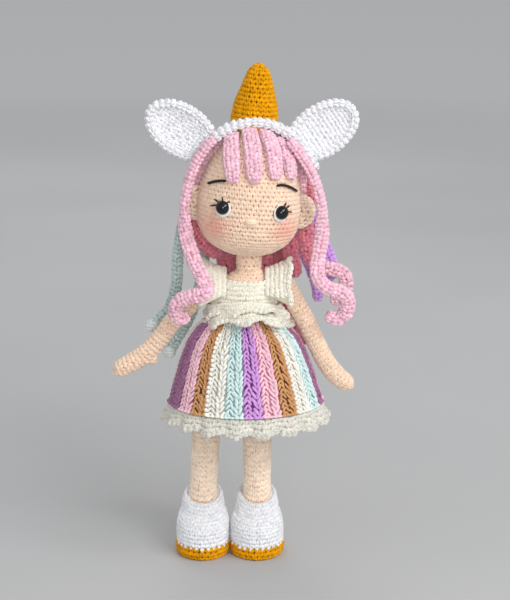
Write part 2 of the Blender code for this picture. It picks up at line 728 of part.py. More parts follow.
def make_hair_cap(skin_cutter):
    """Crocheted wig cap: a shell over the back of the head, open at the face."""
    cap = head_form("hair_cap", GAP + HAIR_THICKNESS, HAIR_SIDES)
    boolean(cap, skin_cutter)
    reach = 2 * (HEAD_CROWN + HEAD_CHIN)
    face = box("cap_opening", (-reach, -reach, -reach), (reach, 0, reach))
    slope = math.atan2(CAP_NAPE_Y - CAP_FRONT_Y, HEAD_CROWN - CAP_NAPE_Z)
    edge = Matrix.Translation((0, CAP_FRONT_Y, HEAD_CROWN)) @ Matrix.Rotation(slope, 4, "X")
    face.data.transform(HEAD_MATRIX @ edge)
    boolean(cap, hide_cutter(face))
    finish_piece(cap, PINK, HEAD_PIVOT)


def make_bang(index, top_share, bottom_share, rise_share):
    """One flat strand of the fringe, laid on the forehead."""
    lift = GAP + BANG_THICKNESS / 2
    start = Vector((top_share, BANG_TOP_SHARE, math.sqrt(1 - top_share ** 2 - BANG_TOP_SHARE ** 2)))
    end = Vector((bottom_share, -math.sqrt(1 - bottom_share ** 2 - rise_share ** 2), rise_share))
    count = len(BANG_WIDTH_SHARES)
    route = []
    normals = []
    for step in range(count):
        share = start.slerp(end, step / (count - 1))
        half_sizes = (HEAD_HALF_WIDTH, HEAD_HALF_DEPTH, HEAD_CROWN)
        point = Vector([part * size for part, size in zip(share, half_sizes)])
        normal = Vector([part / size for part, size in zip(share, half_sizes)]).normalized()
        route.append(HEAD_MATRIX @ (point + normal * lift))
        normals.append(HEAD_MATRIX.to_3x3() @ normal)
    widths = [BANG_HALF_WIDTH * share for share in BANG_WIDTH_SHARES]
    bang = loft(f"fringe_strand_{index}", strip_rings(route, normals, widths, BANG_THICKNESS / 2))
    finish_piece(bang, PINK, HEAD_PIVOT)


def lock_point(share):
    """Place of a hair route's share, in doll space."""
    drop = HEAD_CROWN + LOCK_LIFT if share[2] > 0 else HAIR_DROP
    return HEAD_CENTRE + Vector((
        share[0] * (HEAD_HALF_WIDTH + LOCK_SIDE_LIFT),
        share[1] * (HEAD_HALF_DEPTH + LOCK_LIFT),
        share[2] * drop,
    ))


def lock_normal(share, facing):
    """Flat side of a lock: out from the head, then towards the given side lower down."""
    outward = Vector((share[0], share[1], max(share[2], 0))).normalized()
    turned = min(max(-share[2] / LOCK_TURN_SHARE, 0), 1)
    return outward.lerp(facing, turned).normalized()


def make_lock(name, shares, colour, half_width, facing, cutter):
    """One crocheted strand that leaves the head and hangs free, with its curl."""
    rows = smooth_route([Vector(share) for share in shares], 2)
    route = [lock_point(row) for row in rows]
    normals = [lock_normal(row, facing) for row in rows]
    middle = [1] * (len(rows) - len(LOCK_WIDTH_SHARES) - len(LOCK_END_SHARES))
    widths = [half_width * share for share in (*LOCK_WIDTH_SHARES, *middle, *LOCK_END_SHARES)]
    lock = loft(name, strip_rings(route, normals, widths, LOCK_HALF_THICKNESS))
    boolean(lock, cutter)
    finish_piece(lock, colour, HEAD_PIVOT)


def make_hair(skin_cutter, hair_cutter):
    make_hair_cap(skin_cutter)
    for index, shares in enumerate(BANG_SHARES, start=1):
        make_bang(index, *shares)
    front = Vector((0, -1, 0))
    back = Vector((0, 1, 0))
    wide = LOCK_HALF_WIDTH
    thin = THIN_LOCK_HALF_WIDTH
    make_lock("right_front_lock", RIGHT_FRONT_SHARES, PINK, wide, front, skin_cutter)
    make_lock("left_front_lock", LEFT_FRONT_SHARES, PINK, wide, front, skin_cutter)
    for name, shares, colour, half_width in (
        ("right_side_lock", RIGHT_SIDE_SHARES, PINK, wide),
        ("left_side_lock", LEFT_SIDE_SHARES, PINK, wide),
        ("right_mint_lock_long", RIGHT_MINT_LONG_SHARES, MINT, thin),
        ("right_mint_lock_short", RIGHT_MINT_SHORT_SHARES, MINT, thin),
        ("left_lilac_lock_long", LEFT_LILAC_LONG_SHARES, LILAC, wide),
        ("left_lilac_lock_short", LEFT_LILAC_SHORT_SHARES, LILAC, thin),
        ("back_lock_right", BACK_RIGHT_SHARES, DEEP_PINK, wide),
        ("back_lock_middle", BACK_MIDDLE_SHARES, DEEP_PINK, wide),
        ("back_lock_left", BACK_LEFT_SHARES, DEEP_PINK, wide),
    ):
        make_lock(name, shares, colour, half_width, back, hair_cutter)


def band_form(name, grow):
    """The head's shape, widened and set aside as the headband is."""
    return head_form(name, grow, HAIR_SIDES + BAND_SIDES, BAND_ASIDE)


def make_headband(hair_cutter):
    """White arch that lies over the hair from ear to ear."""
    band = band_form("headband", BAND_SEAT - GAP)
    reach = HEAD_CROWN + BAND_SEAT + OVERRUN
    strip = box(
        "band_strip", (-reach, BAND_FRONT_Y, BAND_END_Z), (reach, BAND_FRONT_Y + BAND_WIDTH, reach)
    )
    strip.data.transform(Matrix.Translation(HEAD_CENTRE))
    boolean(band, hide_cutter(strip), "INTERSECT")
    boolean(band, hide_cutter(band_form("band_inside", HAIR_SEAT)))
    boolean(band, hair_cutter)
    finish_piece(band, WHITE, HEAD_CENTRE)


def make_horn(band_cutter):
    """Stuffed cone that stands on the band."""
    base = Vector((HORN_X, HORN_Y, HEAD_CROWN + BAND_SEAT - HORN_SINK))
    place = Matrix.Translation(HEAD_CENTRE + base) @ Matrix.Rotation(HORN_LEAN, 4, "Y")
    rings = round_rings(((0, HORN_RADIUS),), LIMB_SEGMENTS)
    rings += round_rings([
        (HORN_SINK + rise * HORN_HEIGHT, radius * HORN_RADIUS) for rise, radius in HORN_SHARES
    ], LIMB_SEGMENTS)
    horn = loft("horn", rings)
    horn.data.transform(place)
    boolean(horn, band_cutter)
    finish_piece(horn, MUSTARD, HEAD_CENTRE)


def make_white_ear(side, word, band_cutter):
    """Flat stuffed animal ear, leaning out from the band."""
    ear = egg(f"{word}_headband_ear", (
        WHITE_EAR_HALF_WIDTH, WHITE_EAR_HALF_THICKNESS, WHITE_EAR_HALF_LENGTH,
    ))
    centre = Vector((WHITE_EAR_CENTRE_X + side * WHITE_EAR_X, WHITE_EAR_Y, WHITE_EAR_Z))
    place = Matrix.Translation(HEAD_CENTRE + centre)
    ear.data.transform(place @ Matrix.Rotation(side * WHITE_EAR_LEAN, 4, "Y"))
    boolean(ear, band_cutter)
    finish_piece(ear, WHITE, HEAD_CENTRE)


def arm_route(side, reach, fall, shares):
    points = [Vector((side * across * reach, 0, -down * fall)) for across, down in shares]
    return smooth_route(points, 2)


def arm_form(name, side, route, grow):
    """The arm's tube with round ends, larger by the given amount."""
    pivot = shoulder(side)
    radius = ARM_RADIUS + grow
    count = len(route)
    start = (route[1] - route[0]).normalized()
    end = (route[-1] - route[-2]).normalized()
    rows = [(-start * radius * math.cos(math.radians(angle)),
             radius * math.sin(math.radians(angle))) for angle in (15, 40, 65)]
    for index, point in enumerate(route):
        rows.append((point, radius * value_along(ARM_RADIUS_SHARES, index / (count - 1))))
    tip = radius * ARM_RADIUS_SHARES[-1]
    for angle in (60, 35, 12):
        turn = math.radians(angle)
        rows.append((route[-1] + end * tip * math.cos(turn), tip * math.sin(turn)))
    centres = [pivot + row[0] for row in rows]
    forwards = tangents(centres)
    back = Vector((0, 1, 0))
    rings = []
    for centre, forward, row in zip(centres, forwards, rows):
        across = back.cross(forward)
        rings.append([
            centre + (across * math.cos(angle) + back * math.sin(angle)) * row[1]
            for angle in [2 * math.pi * index / LIMB_SEGMENTS for index in range(LIMB_SEGMENTS)]
        ])
    return loft(name, rings)


def make_arm(side, word, reach, fall, shares):
    """Stuffed arm with a thumb; its round top turns in the seat that its cutter leaves."""
    pivot = shoulder(side)
    back = Vector((0, 1, 0))
    route = arm_route(side, reach, fall, shares)
    arm = arm_form(f"{word}_arm", side, route, 0)
    hide_cutter(arm_form(f"{word}_arm_cutter", side, route, ARM_CLEARANCE))
    index = round(THUMB_PLACE_SHARE * (len(route) - 1))
    forward = tangents(route)[index]
    aside = Vector((0, 0, -1)) if side < 0 else back
    aside = (aside - forward * aside.dot(forward)).normalized()
    thumb = ball(f"{word}_thumb_form", pivot + route[index] + aside * THUMB_REACH, THUMB_RADIUS)
    boolean(arm, hide_cutter(thumb), "UNION")
    finish_piece(arm, SKIN, pivot)


def foot_ring(row, side, grow, level=None):
    """One ring of the foot, or of the boot round it."""
    rise, width, length, forward, slope = row
    height = FOOT_BOTTOM + rise * (SHOE_RIM_HEIGHT - FOOT_BOTTOM)
    if level is not None:
        height = level
    half_width = LEG_RADIUS + width * (FOOT_HALF_WIDTH - LEG_RADIUS) + grow
    half_length = LEG_RADIUS + length * (FOOT_HALF_LENGTH - LEG_RADIUS) + grow
    centre = (ankle_x(side), -forward * FOOT_FORWARD, height)
    return ellipse(centre, half_width, half_length, LIMB_SEGMENTS, slope * SHOE_RIM_SLOPE_SHARE)


def make_leg(side, word):
    """Stuffed leg and foot; its round top turns in the torso's seat."""
    pivot = hip(side)
    rings = [foot_ring(row, side, 0) for row in FOOT_SHARES]
    rim = SHOE_RIM_HEIGHT
    for share in (0.25, 0.5, 0.75, 1):
        height = rim + (HIP_HEIGHT - rim) * share
        centre = (ankle_x(side) + (pivot.x - ankle_x(side)) * share, 0, height)
        slope = SHOE_RIM_SLOPE_SHARE * max(1 - 2 * share, 0)
        rings.append(ellipse(centre, LEG_RADIUS, LEG_RADIUS, LIMB_SEGMENTS, slope))
    for angle in (30, 55, 78):
        turn = math.radians(angle)
        centre = (pivot.x, 0, HIP_HEIGHT + LEG_RADIUS * math.sin(turn))
        radius = LEG_RADIUS * math.cos(turn)
        rings.append(ellipse(centre, radius, radius, LIMB_SEGMENTS))
    leg = loft(f"{word}_leg", rings)
    finish_piece(leg, SKIN, pivot)


def make_boot(side, word):
    """Slip-on boot: crocheted upper, mustard sole and the stiff insole between them."""
    pivot = hip(side)
    ball_row = FOOT_SHARES[FOOT_BALL_ROW]
    inner = [foot_ring(ball_row, side, GAP, SHOE_BOTTOM)]
    inner += [foot_ring(row, side, GAP) for row in FOOT_SHARES[FOOT_BALL_ROW:]]
    outer = [foot_ring(ball_row, side, GAP + SHOE_WALL, SHOE_BOTTOM)]
    outer += [foot_ring(row, side, GAP + SHOE_WALL) for row in FOOT_SHARES[FOOT_BALL_ROW:]]
    upper = loft(f"{word}_boot", outer + inner[::-1], closed=True)
    finish_piece(upper, WHITE, pivot)
    half_width = FOOT_HALF_WIDTH + GAP + SHOE_WALL + SOLE_LIP
    half_length = FOOT_HALF_LENGTH + GAP + SHOE_WALL + SOLE_LIP
    sole = loft(f"{word}_sole", [
        ellipse((ankle_x(side), -FOOT_FORWARD, rise * SOLE_THICKNESS),
                outline * half_width, outline * half_length, BODY_SEGMENTS)
        for rise, outline in SOLE_SHARES
    ])
    finish_piece(sole, MUSTARD, pivot)
    insole = loft(f"{word}_insole", [
        ellipse((ankle_x(side), -FOOT_FORWARD, level), FOOT_HALF_WIDTH, FOOT_HALF_LENGTH,
                LIMB_SEGMENTS)
        for level in (SHOE_BOTTOM, SHOE_BOTTOM + INSOLE_THICKNESS)
    ])
    finish_piece(insole, CLEAR_GREY, pivot, roughness=MOULDED_ROUGHNESS)


def make_bodice():
    """Close-fitting top of the dress, open at the neck, with armholes."""
    rings = {0: [], 1: []}
    top = NECK_ROOT - BODICE_TOP_DROP
    bottom = WAIST_HEIGHT + GAP
    stations = [TORSO_BOTTOM + share * TORSO_LENGTH for share, _, _ in TORSO_SHARES]
    for height in (bottom, *[level for level in stations if bottom < level < top], top):
        centre, half_width, half_depth = torso_section(height)
        for layer, grow in ((0, GAP + BODICE_THICKNESS), (1, GAP)):
            rings[layer].append(ellipse(
                (centre, 0, height), half_width + grow, half_depth + grow, BODY_SEGMENTS
            ))
    bodice = loft("bodice", rings[0] + rings[1][::-1], closed=True)
    for word in ("left", "right"):
        boolean(bodice, bpy.data.objects[f"{word}_arm_cutter"])
    finish_piece(bodice, CREAM, TORSO_PIVOT)


def wavy_ring(centre, half_x, half_y, waves, wave, front_lift):
    """An oval whose edge waves in and out, and that may lie higher at the front."""
    count = waves * POINTS_PER_WAVE
    ring = []
    for index in range(count):
        angle = 2 * math.pi * index / count
        out = wave * math.sin(waves * angle)
        ahead = max(-math.sin(angle), 0)
        ring.append(Vector((
            centre[0] + (half_x + out) * math.cos(angle),
            centre[1] + (half_y + out) * math.sin(angle),
            centre[2] + front_lift * ahead ** 2,
        )))
    return ring


def skirt_section(share, flare):
    """Height, centre and outer half sizes of the skirt at one row of its table."""
    height = WAIST_HEIGHT + (HEM_HEIGHT - WAIST_HEIGHT) * share
    centre, half_width, half_depth = torso_section(WAIST_HEIGHT)
    seat = GAP + SKIRT_THICKNESS
    centre += (HEM_CENTRE_X - centre) * flare
    half_width += seat + (SKIRT_HALF_WIDTH - half_width - seat) * flare
    half_depth += seat + (SKIRT_HALF_DEPTH - half_depth - seat) * flare
    return height, centre, half_width, half_depth


def make_skirt():
    """Flared skirt, a thin shell open at the waist and the hem."""
    outer = []
    inner = []
    for share, flare in SKIRT_SHARES:
        height, centre, half_width, half_depth = skirt_section(share, flare)
        for rings, shrink in ((outer, 0), (inner, SKIRT_THICKNESS)):
            rings.append(ellipse(
                (centre, 0, height), half_width - shrink, half_depth - shrink, SKIRT_SEGMENTS
            ))
    skirt = loft("skirt", outer + inner[::-1], closed=True)
    finish_piece(skirt, PINK, TORSO_PIVOT)


def make_frill(name, section, drop, side_flare, front_flare, waves, wave, colour, front_lift=0):
    """A wavy band that hangs from its top edge (height, centre, half sizes) and flares out."""
    top, centre, half_width, half_depth = section
    outer = []
    inner = []
    for share in (0, 0.5, 1):
        for rings, shrink in ((outer, 0), (inner, FRILL_THICKNESS)):
            rings.append(wavy_ring(
                (centre, 0, top - drop * share),
                half_width + side_flare * share - shrink,
                half_depth + front_flare * share - shrink,
                waves, wave * share, front_lift,
            ))
    frill = loft(name, outer + inner[::-1], closed=True)
    finish_piece(frill, colour, TORSO_PIVOT)


def make_waist_frills():
    seat = GAP + BODICE_THICKNESS + GAP + FRILL_THICKNESS
    lower_rise = UPPER_FRILL_RISE - UPPER_FRILL_DROP - GAP
    for name, rise, drop, side_flare, front_flare in (
        ("upper_waist_frill", UPPER_FRILL_RISE, UPPER_FRILL_DROP,
         UPPER_FRILL_SIDE_FLARE, UPPER_FRILL_FRONT_FLARE),
        ("lower_waist_frill", lower_rise, LOWER_FRILL_DROP,
         LOWER_FRILL_SIDE_FLARE, LOWER_FRILL_FRONT_FLARE),
    ):
        top = WAIST_HEIGHT + rise
        centre, half_width, half_depth = torso_section(top)
        make_frill(name, (top, centre, half_width + seat, half_depth + seat), drop,
                   side_flare, front_flare, WAIST_FRILL_WAVES, WAIST_FRILL_WAVE, CREAM,
                   FRILL_FRONT_LIFT)


def make_hem_frill():
    height, centre, half_width, half_depth = skirt_section(*SKIRT_SHARES[-1])
    make_frill("hem_frill", (height - GAP, centre, half_width, half_depth), HEM_FRILL_DROP,
               HEM_FRILL_FLARE, HEM_FRILL_FLARE, HEM_FRILL_WAVES, HEM_FRILL_WAVE, WHITE)


def make_shoulder_frill(side, word):
    """A frill that arches over the shoulder from the chest to the back."""
    foot = NECK_ROOT - STRAP_FOOT_DROP
    centre = torso_section(foot)[0]
    steps = STRAP_WAVES * POINTS_PER_WAVE // 2
    inner_edge = []
    outer_edge = []
    for step in range(steps + 1):
        turn = math.pi * step / steps
        along = -math.cos(turn)
        rise = math.sin(turn)
        wave = STRAP_WAVE * math.sin(2 * math.pi * STRAP_WAVES * step / steps)
        inner_edge.append(Vector((
            centre + side * STRAP_INNER_X, along * STRAP_INNER_DEPTH, foot + rise * STRAP_INNER_RISE,
        )))
        outer_edge.append(Vector((
            centre + side * STRAP_OUTER_X, along * (STRAP_OUTER_DEPTH + wave),
            foot + rise * (STRAP_OUTER_RISE + wave),
        )))
    rings = []
    for near, far in zip(inner_edge, outer_edge):
        up = Vector((0, near.y, near.z - foot)).normalized() * FRILL_THICKNESS
        rings.append([near, far, far + up, near + up])
    frill = loft(f"{word}_shoulder_frill", rings)
    finish_piece(frill, CREAM, TORSO_PIVOT)


def make_doll():
    clear_scene()
    doll = bpy.data.objects.new("doll", None)
    bpy.context.collection.objects.link(doll)
    doll.location = (-ORIGIN_X, -ORIGIN_Y, 0)
    skin_cutter = hide_cutter(head_form("skin_cutter", GAP))
    hair_cutter = hide_cutter(head_form("hair_cutter", HAIR_SEAT, HAIR_SIDES))
    band_cutter = hide_cutter(band_form("band_cutter", BAND_SEAT))
    make_arm(-1, "right", RIGHT_ARM_REACH, RIGHT_ARM_FALL, RIGHT_ARM_SHARES)
    make_arm(1, "left", LEFT_ARM_REACH, LEFT_ARM_FALL, LEFT_ARM_SHARES)
    make_torso()
    make_neck_rod()
    make_head()
    make_nose(skin_cutter)
    make_hair(skin_cutter, hair_cutter)
    make_headband(hair_cutter)
    make_horn(band_cutter)
    make_bodice()
    make_skirt()
    make_hem_frill()
    make_waist_frills()
    for side, word in ((1, "left"), (-1, "right")):
        make_eye(side, word)
        make_brow(side, word)
        make_lashes(side, word)
        make_ear(side, word, skin_cutter)
        make_white_ear(side, word, band_cutter)
        make_shoulder_frill(side, word)
        make_leg(side, word)
        make_boot(side, word)


make_doll()
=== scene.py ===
"""Looks of the crocheted doll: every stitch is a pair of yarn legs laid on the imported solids.

Lengths are in millimetres until a mesh is made. The doll faces -Y and its left side is +X.
A surface is a grid of points with u from 0 to 1 round it, starting at the back, and s in
millimetres along it. Stitches are small templates that are laid on such a surface.
"""
import math

import bpy
import numpy as np
from mathutils import Matrix, Vector
from mathutils.bvhtree import BVHTree


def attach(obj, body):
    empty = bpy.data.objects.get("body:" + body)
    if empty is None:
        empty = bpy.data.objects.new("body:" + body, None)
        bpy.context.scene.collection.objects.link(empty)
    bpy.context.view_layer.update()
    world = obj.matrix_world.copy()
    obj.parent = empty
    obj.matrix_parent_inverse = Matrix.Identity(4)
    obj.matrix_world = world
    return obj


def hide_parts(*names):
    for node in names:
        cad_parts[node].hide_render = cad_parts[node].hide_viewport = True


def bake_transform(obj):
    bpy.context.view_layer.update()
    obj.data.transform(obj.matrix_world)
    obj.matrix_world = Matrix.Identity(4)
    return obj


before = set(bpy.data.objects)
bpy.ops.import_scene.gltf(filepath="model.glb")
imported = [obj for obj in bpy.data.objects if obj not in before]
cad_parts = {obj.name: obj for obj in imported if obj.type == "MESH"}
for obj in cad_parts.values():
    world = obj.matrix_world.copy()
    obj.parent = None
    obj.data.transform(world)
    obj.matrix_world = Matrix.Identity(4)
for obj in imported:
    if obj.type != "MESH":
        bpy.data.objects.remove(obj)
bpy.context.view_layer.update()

MM = 0.001
SHIFT = np.array((0.6, -0.4, 0.0))
TAU = 2 * math.pi

# Sizes repeated from the solids, in mm
GAP = 0.3
HIP_CENTRE_X = -0.6
HIP_SPREAD = 12.7
HIP_HEIGHT = 93.0
TORSO_BOTTOM = 95.6
TORSO_LENGTH = 53.4
TORSO_HALF = (19.0, 13.5)
NECK_X = 7.4
NECK_ROOT = 149.0
NECK_RADIUS = 6.2
NECK_SHOWN = 8.0
HEAD_HALF = (26.0, 26.5)
HEAD_CROWN = 38.2
HEAD_CHIN = 24.0
CHIN_POWER = 2.6
HEAD_CENTRE = np.array((7.4, 0.0, 181.0))
HEAD_ROLL = math.radians(5.5)
HEAD_YAW = math.radians(3.5)
HEAD_TURN = np.array(
    Matrix.Rotation(HEAD_YAW, 3, "Z") @ Matrix.Rotation(HEAD_ROLL, 3, "Y")
)
TORSO_SHARES = (
    (0.0, 0.72, 0.66), (0.035, 0.90, 0.88), (0.10, 0.99, 0.98), (0.20, 1.0, 1.0),
    (0.35, 0.93, 0.97), (0.53, 0.80, 0.90), (0.72, 0.76, 0.90), (0.83, 0.71, 0.84),
    (0.905, 0.63, 0.74), (0.96, 0.49, 0.61),
)
HAIR_SIDES = 1.5
BAND_SIDES = 1.6
BAND_ASIDE = 1.4
BAND_SEAT = 7.2
LOCK_LIFT = 6.0
LOCK_STEP = 1.2
LOCK_HALF_THICKNESS = 1.75
LOCK_SIDE_LIFT = 7.5
HAIR_DROP = 100.0
FRONT_LOCK_BREADTH = 0.92
BACK_LOCK_BREADTH = 1.25
LOCKS = {
    "right_front_lock": ("pink", 3.6, -1, (
        (-0.50, -0.26, 0.81), (-0.62, -0.26, 0.73), (-0.77, -0.26, 0.56), (-0.88, -0.27, 0.34),
        (-0.94, -0.29, 0.14), (-0.955, -0.30, -0.04), (-0.925, -0.35, -0.12),
        (-0.865, -0.45, -0.19), (-0.775, -0.55, -0.26), (-0.67, -0.63, -0.325),
        (-0.615, -0.67, -0.37), (-0.70, -0.68, -0.40), (-0.88, -0.62, -0.415),
        (-1.04, -0.55, -0.445), (-1.10, -0.47, -0.50), (-1.02, -0.41, -0.54),
        (-0.90, -0.41, -0.525),
    )),
    "left_front_lock": ("pink", 3.6, -1, (
        (0.59, -0.26, 0.80), (0.78, -0.26, 0.62), (0.935, -0.26, 0.42), (1.03, -0.26, 0.22),
        (1.09, -0.24, 0.02), (1.09, -0.25, -0.105), (1.06, -0.30, -0.185), (1.02, -0.38, -0.275),
        (1.04, -0.46, -0.335), (1.18, -0.51, -0.38), (1.36, -0.48, -0.40), (1.48, -0.40, -0.445),
        (1.45, -0.33, -0.52), (1.31, -0.31, -0.55), (1.17, -0.34, -0.52),
    )),
    "right_side_lock": ("pink_in_painted_shade", 3.6, 1, (
        (-0.87, 0.29, 0.34), (-0.95, 0.30, 0.10), (-0.92, 0.30, -0.06), (-0.84, 0.31, -0.14),
        (-0.72, 0.33, -0.20), (-0.58, 0.36, -0.24), (-0.44, 0.40, -0.27),
    )),
    "left_side_lock": ("pink", 3.6, 1, (
        (0.90, 0.30, 0.33), (0.95, 0.31, 0.10), (0.88, 0.31, -0.08), (0.87, 0.30, -0.18),
        (0.93, 0.28, -0.27), (1.08, 0.27, -0.32), (1.27, 0.27, -0.335), (1.46, 0.28, -0.36),
        (1.49, 0.30, -0.43), (1.40, 0.33, -0.49), (1.26, 0.34, -0.50),
    )),
    "right_mint_lock_long": ("mint", 2.7, 1, (
        (-0.62, 0.51, 0.53), (-0.81, 0.50, 0.20), (-0.95, 0.50, -0.03), (-1.04, 0.47, -0.155),
        (-1.10, 0.44, -0.29), (-1.12, 0.42, -0.42), (-1.22, 0.41, -0.54), (-1.40, 0.38, -0.61),
        (-1.53, 0.36, -0.645),
    )),
    "right_mint_lock_short": ("mint", 2.7, 1, (
        (-0.40, 0.80, 0.48), (-0.57, 0.84, 0.04), (-0.64, 0.80, -0.13), (-0.69, 0.71, -0.28),
        (-0.78, 0.58, -0.46), (-0.92, 0.46, -0.60), (-1.10, 0.40, -0.70), (-1.26, 0.36, -0.79),
    )),
    "left_lilac_lock_long": ("lilac", 3.6, 1, (
        (0.62, 0.58, 0.55), (0.82, 0.58, 0.15), (0.93, 0.58, -0.05), (1.06, 0.56, -0.17),
        (1.19, 0.55, -0.26), (1.27, 0.54, -0.34), (1.23, 0.54, -0.41),
    )),
    "left_lilac_lock_short": ("lilac", 2.7, 1, (
        (0.38, 0.82, 0.46), (0.60, 0.84, 0.02), (0.72, 0.80, -0.15), (0.86, 0.70, -0.28),
        (0.98, 0.60, -0.37), (1.05, 0.53, -0.44), (1.07, 0.49, -0.52),
    )),
    "back_lock_right": ("pink_in_painted_shade", 3.6, 1, (
        (-0.26, 0.91, 0.20), (-0.32, 0.94, -0.05), (-0.35, 0.90, -0.25), (-0.37, 0.82, -0.40),
        (-0.39, 0.84, -0.55), (-0.46, 0.86, -0.67),
    )),
    "back_lock_middle": ("pink_in_painted_shade", 3.6, 1, (
        (0.0, 0.97, 0.18), (0.0, 1.0, -0.05), (0.0, 0.95, -0.25), (-0.01, 0.86, -0.40),
        (0.0, 0.86, -0.55), (0.02, 0.93, -0.70),
    )),
    "back_lock_left": ("pink_in_painted_shade", 3.6, 1, (
        (0.27, 0.93, 0.20), (0.36, 0.95, -0.05), (0.44, 0.89, -0.25), (0.49, 0.82, -0.40),
        (0.55, 0.82, -0.54), (0.68, 0.79, -0.66), (0.90, 0.69, -0.72), (1.14, 0.56, -0.735),
    )),
}
NAPE_LOCKS = {
    "nape_strand_right": (
        (-0.16, 0.86, 0.05), (-0.17, 0.88, -0.15), (-0.18, 0.80, -0.30), (-0.19, 0.72, -0.42),
    ),
    "nape_strand_left": (
        (0.20, 0.86, 0.05), (0.21, 0.88, -0.15), (0.23, 0.80, -0.30), (0.25, 0.72, -0.42),
    ),
    "nape_strand_side": (
        (0.58, 0.72, 0.05), (0.62, 0.72, -0.12), (0.64, 0.66, -0.26), (0.70, 0.60, -0.40),
    ),
}
BANG_HALF_WIDTH = 4.05
BANG_THICKNESS = 3.0
BANG_SHARES = (
    (-0.42, -0.365, 0.39), (-0.14, 0.0, 0.41), (0.14, 0.354, 0.47), (0.42, 0.655, 0.47),
)
BANG_TOP_SHARE = -0.13
BANG_STEPS = 40
BANG_TIP_SHARE = 0.93
BANG_WIDTH_SHARES = (0.85, 0.94, 0.98, 1.02, 1.05, 1.07, 1.05, 1.0, 0.88, 0.52)
ARMS = {
    "right": (-1, 46.5, 43.5, (
        (0.0, 0.0), (0.21, 0.20), (0.40, 0.405), (0.535, 0.59), (0.655, 0.745), (0.80, 0.88),
        (1.0, 1.0),
    )),
    "left": (1, 30.5, 51.0, (
        (0.0, 0.0), (0.16, 0.18), (0.33, 0.36), (0.485, 0.565), (0.66, 0.775), (0.84, 0.92),
        (1.0, 1.0),
    )),
}
SHOULDER = (19.0, 141.0)
ARM_RADIUS = 4.6
ARM_RADIUS_SHARES = (1.0, 1.0, 0.98, 0.96, 1.04, 0.94)
LEG_RADIUS = 7.0
ANKLE_CENTRE = -2.6
ANKLE_APART = 14.05
SHOE_WALL = 2.2
FOOT_HALF = (11.0, 13.7)
FOOT_FORWARD = 5.0
FOOT_BOTTOM = 8.1
SHOE_RIM = 32.0
CUFF_FROM = 16.0
CUFF_SLOUCH = 0.16
RIM_SLOPE = 0.45
FOOT_SHARES = (
    (0.0, 0.62, 0.80, 1.0, 0.0), (0.06, 0.94, 0.96, 1.0, 0.0), (0.20, 1.0, 1.0, 1.0, 0.0),
    (0.38, 0.94, 0.90, 0.92, 0.12), (0.55, 0.66, 0.62, 0.64, 0.38), (0.75, 0.24, 0.24, 0.24, 0.72),
    (1.0, 0.0, 0.0, 0.0, 1.0),
)
SOLE_HALF = (13.8, 16.5)
SOLE_TOP = 6.5
WAIST = 126.0
HEM = 80.5
HEM_CENTRE_X = 5.6
SKIRT_HALF = (39.3, 34.5)
SKIRT_SEAT = 2.5
SKIRT_SHARES = ((0.0, 0.0), (0.06, 0.08), (0.16, 0.27), (0.29, 0.49), (0.62, 0.76), (1.0, 1.0))

# Colours read from the photograph, 0 to 255: the yarn, and the painted shade of its holes
YARNS = {
    "skin": ((253, 224, 199), (188, 126, 92)),
    # Skin yarn painted paler, painted light for the legs and the small ears
    "painted_lit_skin": ((255, 234, 212), (208, 152, 118)),
    "pink": ((252, 204, 220), (230, 150, 174)),
    # Pink yarn painted darker, painted shade for the hair under and behind the head
    "pink_in_painted_shade": ((238, 144, 160), (166, 62, 82)),
    "mint": ((196, 214, 212), (150, 172, 170)),
    "knot": ((228, 236, 236), (196, 208, 208)),
    "lilac": ((212, 164, 234), (150, 96, 178)),
    "white": ((244, 244, 247), (226, 226, 232)),
    "cream": ((246, 242, 228), (222, 215, 190)),
    "hem": ((229, 226, 216), (186, 180, 160)),
    "mustard": ((234, 164, 3), (140, 74, 0)),
    "brown": ((44, 30, 27), (24, 16, 14)),
}
# Colours of the skirt's stripes, each the yarn and the painted shade of its holes; PLUM_STRIPES are the
# stripes at the sides coloured a darker plum
PLUM = ((168, 112, 152), (74, 36, 62))
PLUM_STRIPES = (-6, -5, 5)
STRIPES = (
    ((222, 164, 232), (104, 48, 112)),
    ((252, 208, 220), (190, 112, 134)),
    ((216, 160, 106), (86, 48, 24)),
    ((248, 246, 238), (178, 170, 146)),
    ((222, 242, 240), (134, 164, 168)),
)
STRIPE_ANGLE = 14.4
BLUSH_COLOUR = (240, 150, 132)
# The blush's painted shade in the holes
BLUSH_PAINTED_SHADE = (190, 90, 80)

# Places on the face: across and rise from the head's centre
EYES = {1: (13.65, 2.75), -1: (-13.65, 2.75)}
NOSE = (-0.6, -2.6)
BROWS = {
    "left": ((10.5, 15.4), (13.7, 15.6), (17.4, 14.5), (21.4, 12.1)),
    "right": ((-21.5, 12.2), (-19.3, 13.5), (-16.6, 14.7), (-13.4, 15.3)),
}
LASHES = {
    "left": (((14.8, 5.0), (15.6, 7.5)), ((15.9, 4.4), (17.4, 5.9)), ((16.6, 3.2), (19.0, 2.6))),
    "right": (
        ((-16.4, 3.4), (-19.4, 2.3)), ((-15.9, 4.8), (-17.8, 5.9)), ((-14.0, 5.6), (-14.4, 7.6)),
        ((-12.2, 5.2), (-10.9, 6.2)),
    ),
}
THREAD_LIFT = 0.95
BLUSH = ((-17.6, -8.0), (18.0, -7.2))
BLUSH_RADIUS = 6.5
# Height and radius of an eye's dome and of the felt ring under it
EYE_DOME = [(-1.0, 1.4), (0.9, 1.4), (1.0, 3.0), (1.15, 3.4)] + [
    (1.6 + 3.2 * math.sin(math.radians(angle)), 3.5 * math.cos(math.radians(angle)))
    for angle in (0, 8, 16, 24, 32, 40, 48, 56, 64, 72, 80, 86)
]
EYE_FELT = [(0.3, 1.8), (0.3, 3.9), (0.5, 4.15), (0.95, 4.15), (1.12, 3.9), (1.12, 1.8)]
EYE_FELT_ASIDE = 0.15
EYE_FELT_DROP = 0.6
EYE_COLUMNS = 48
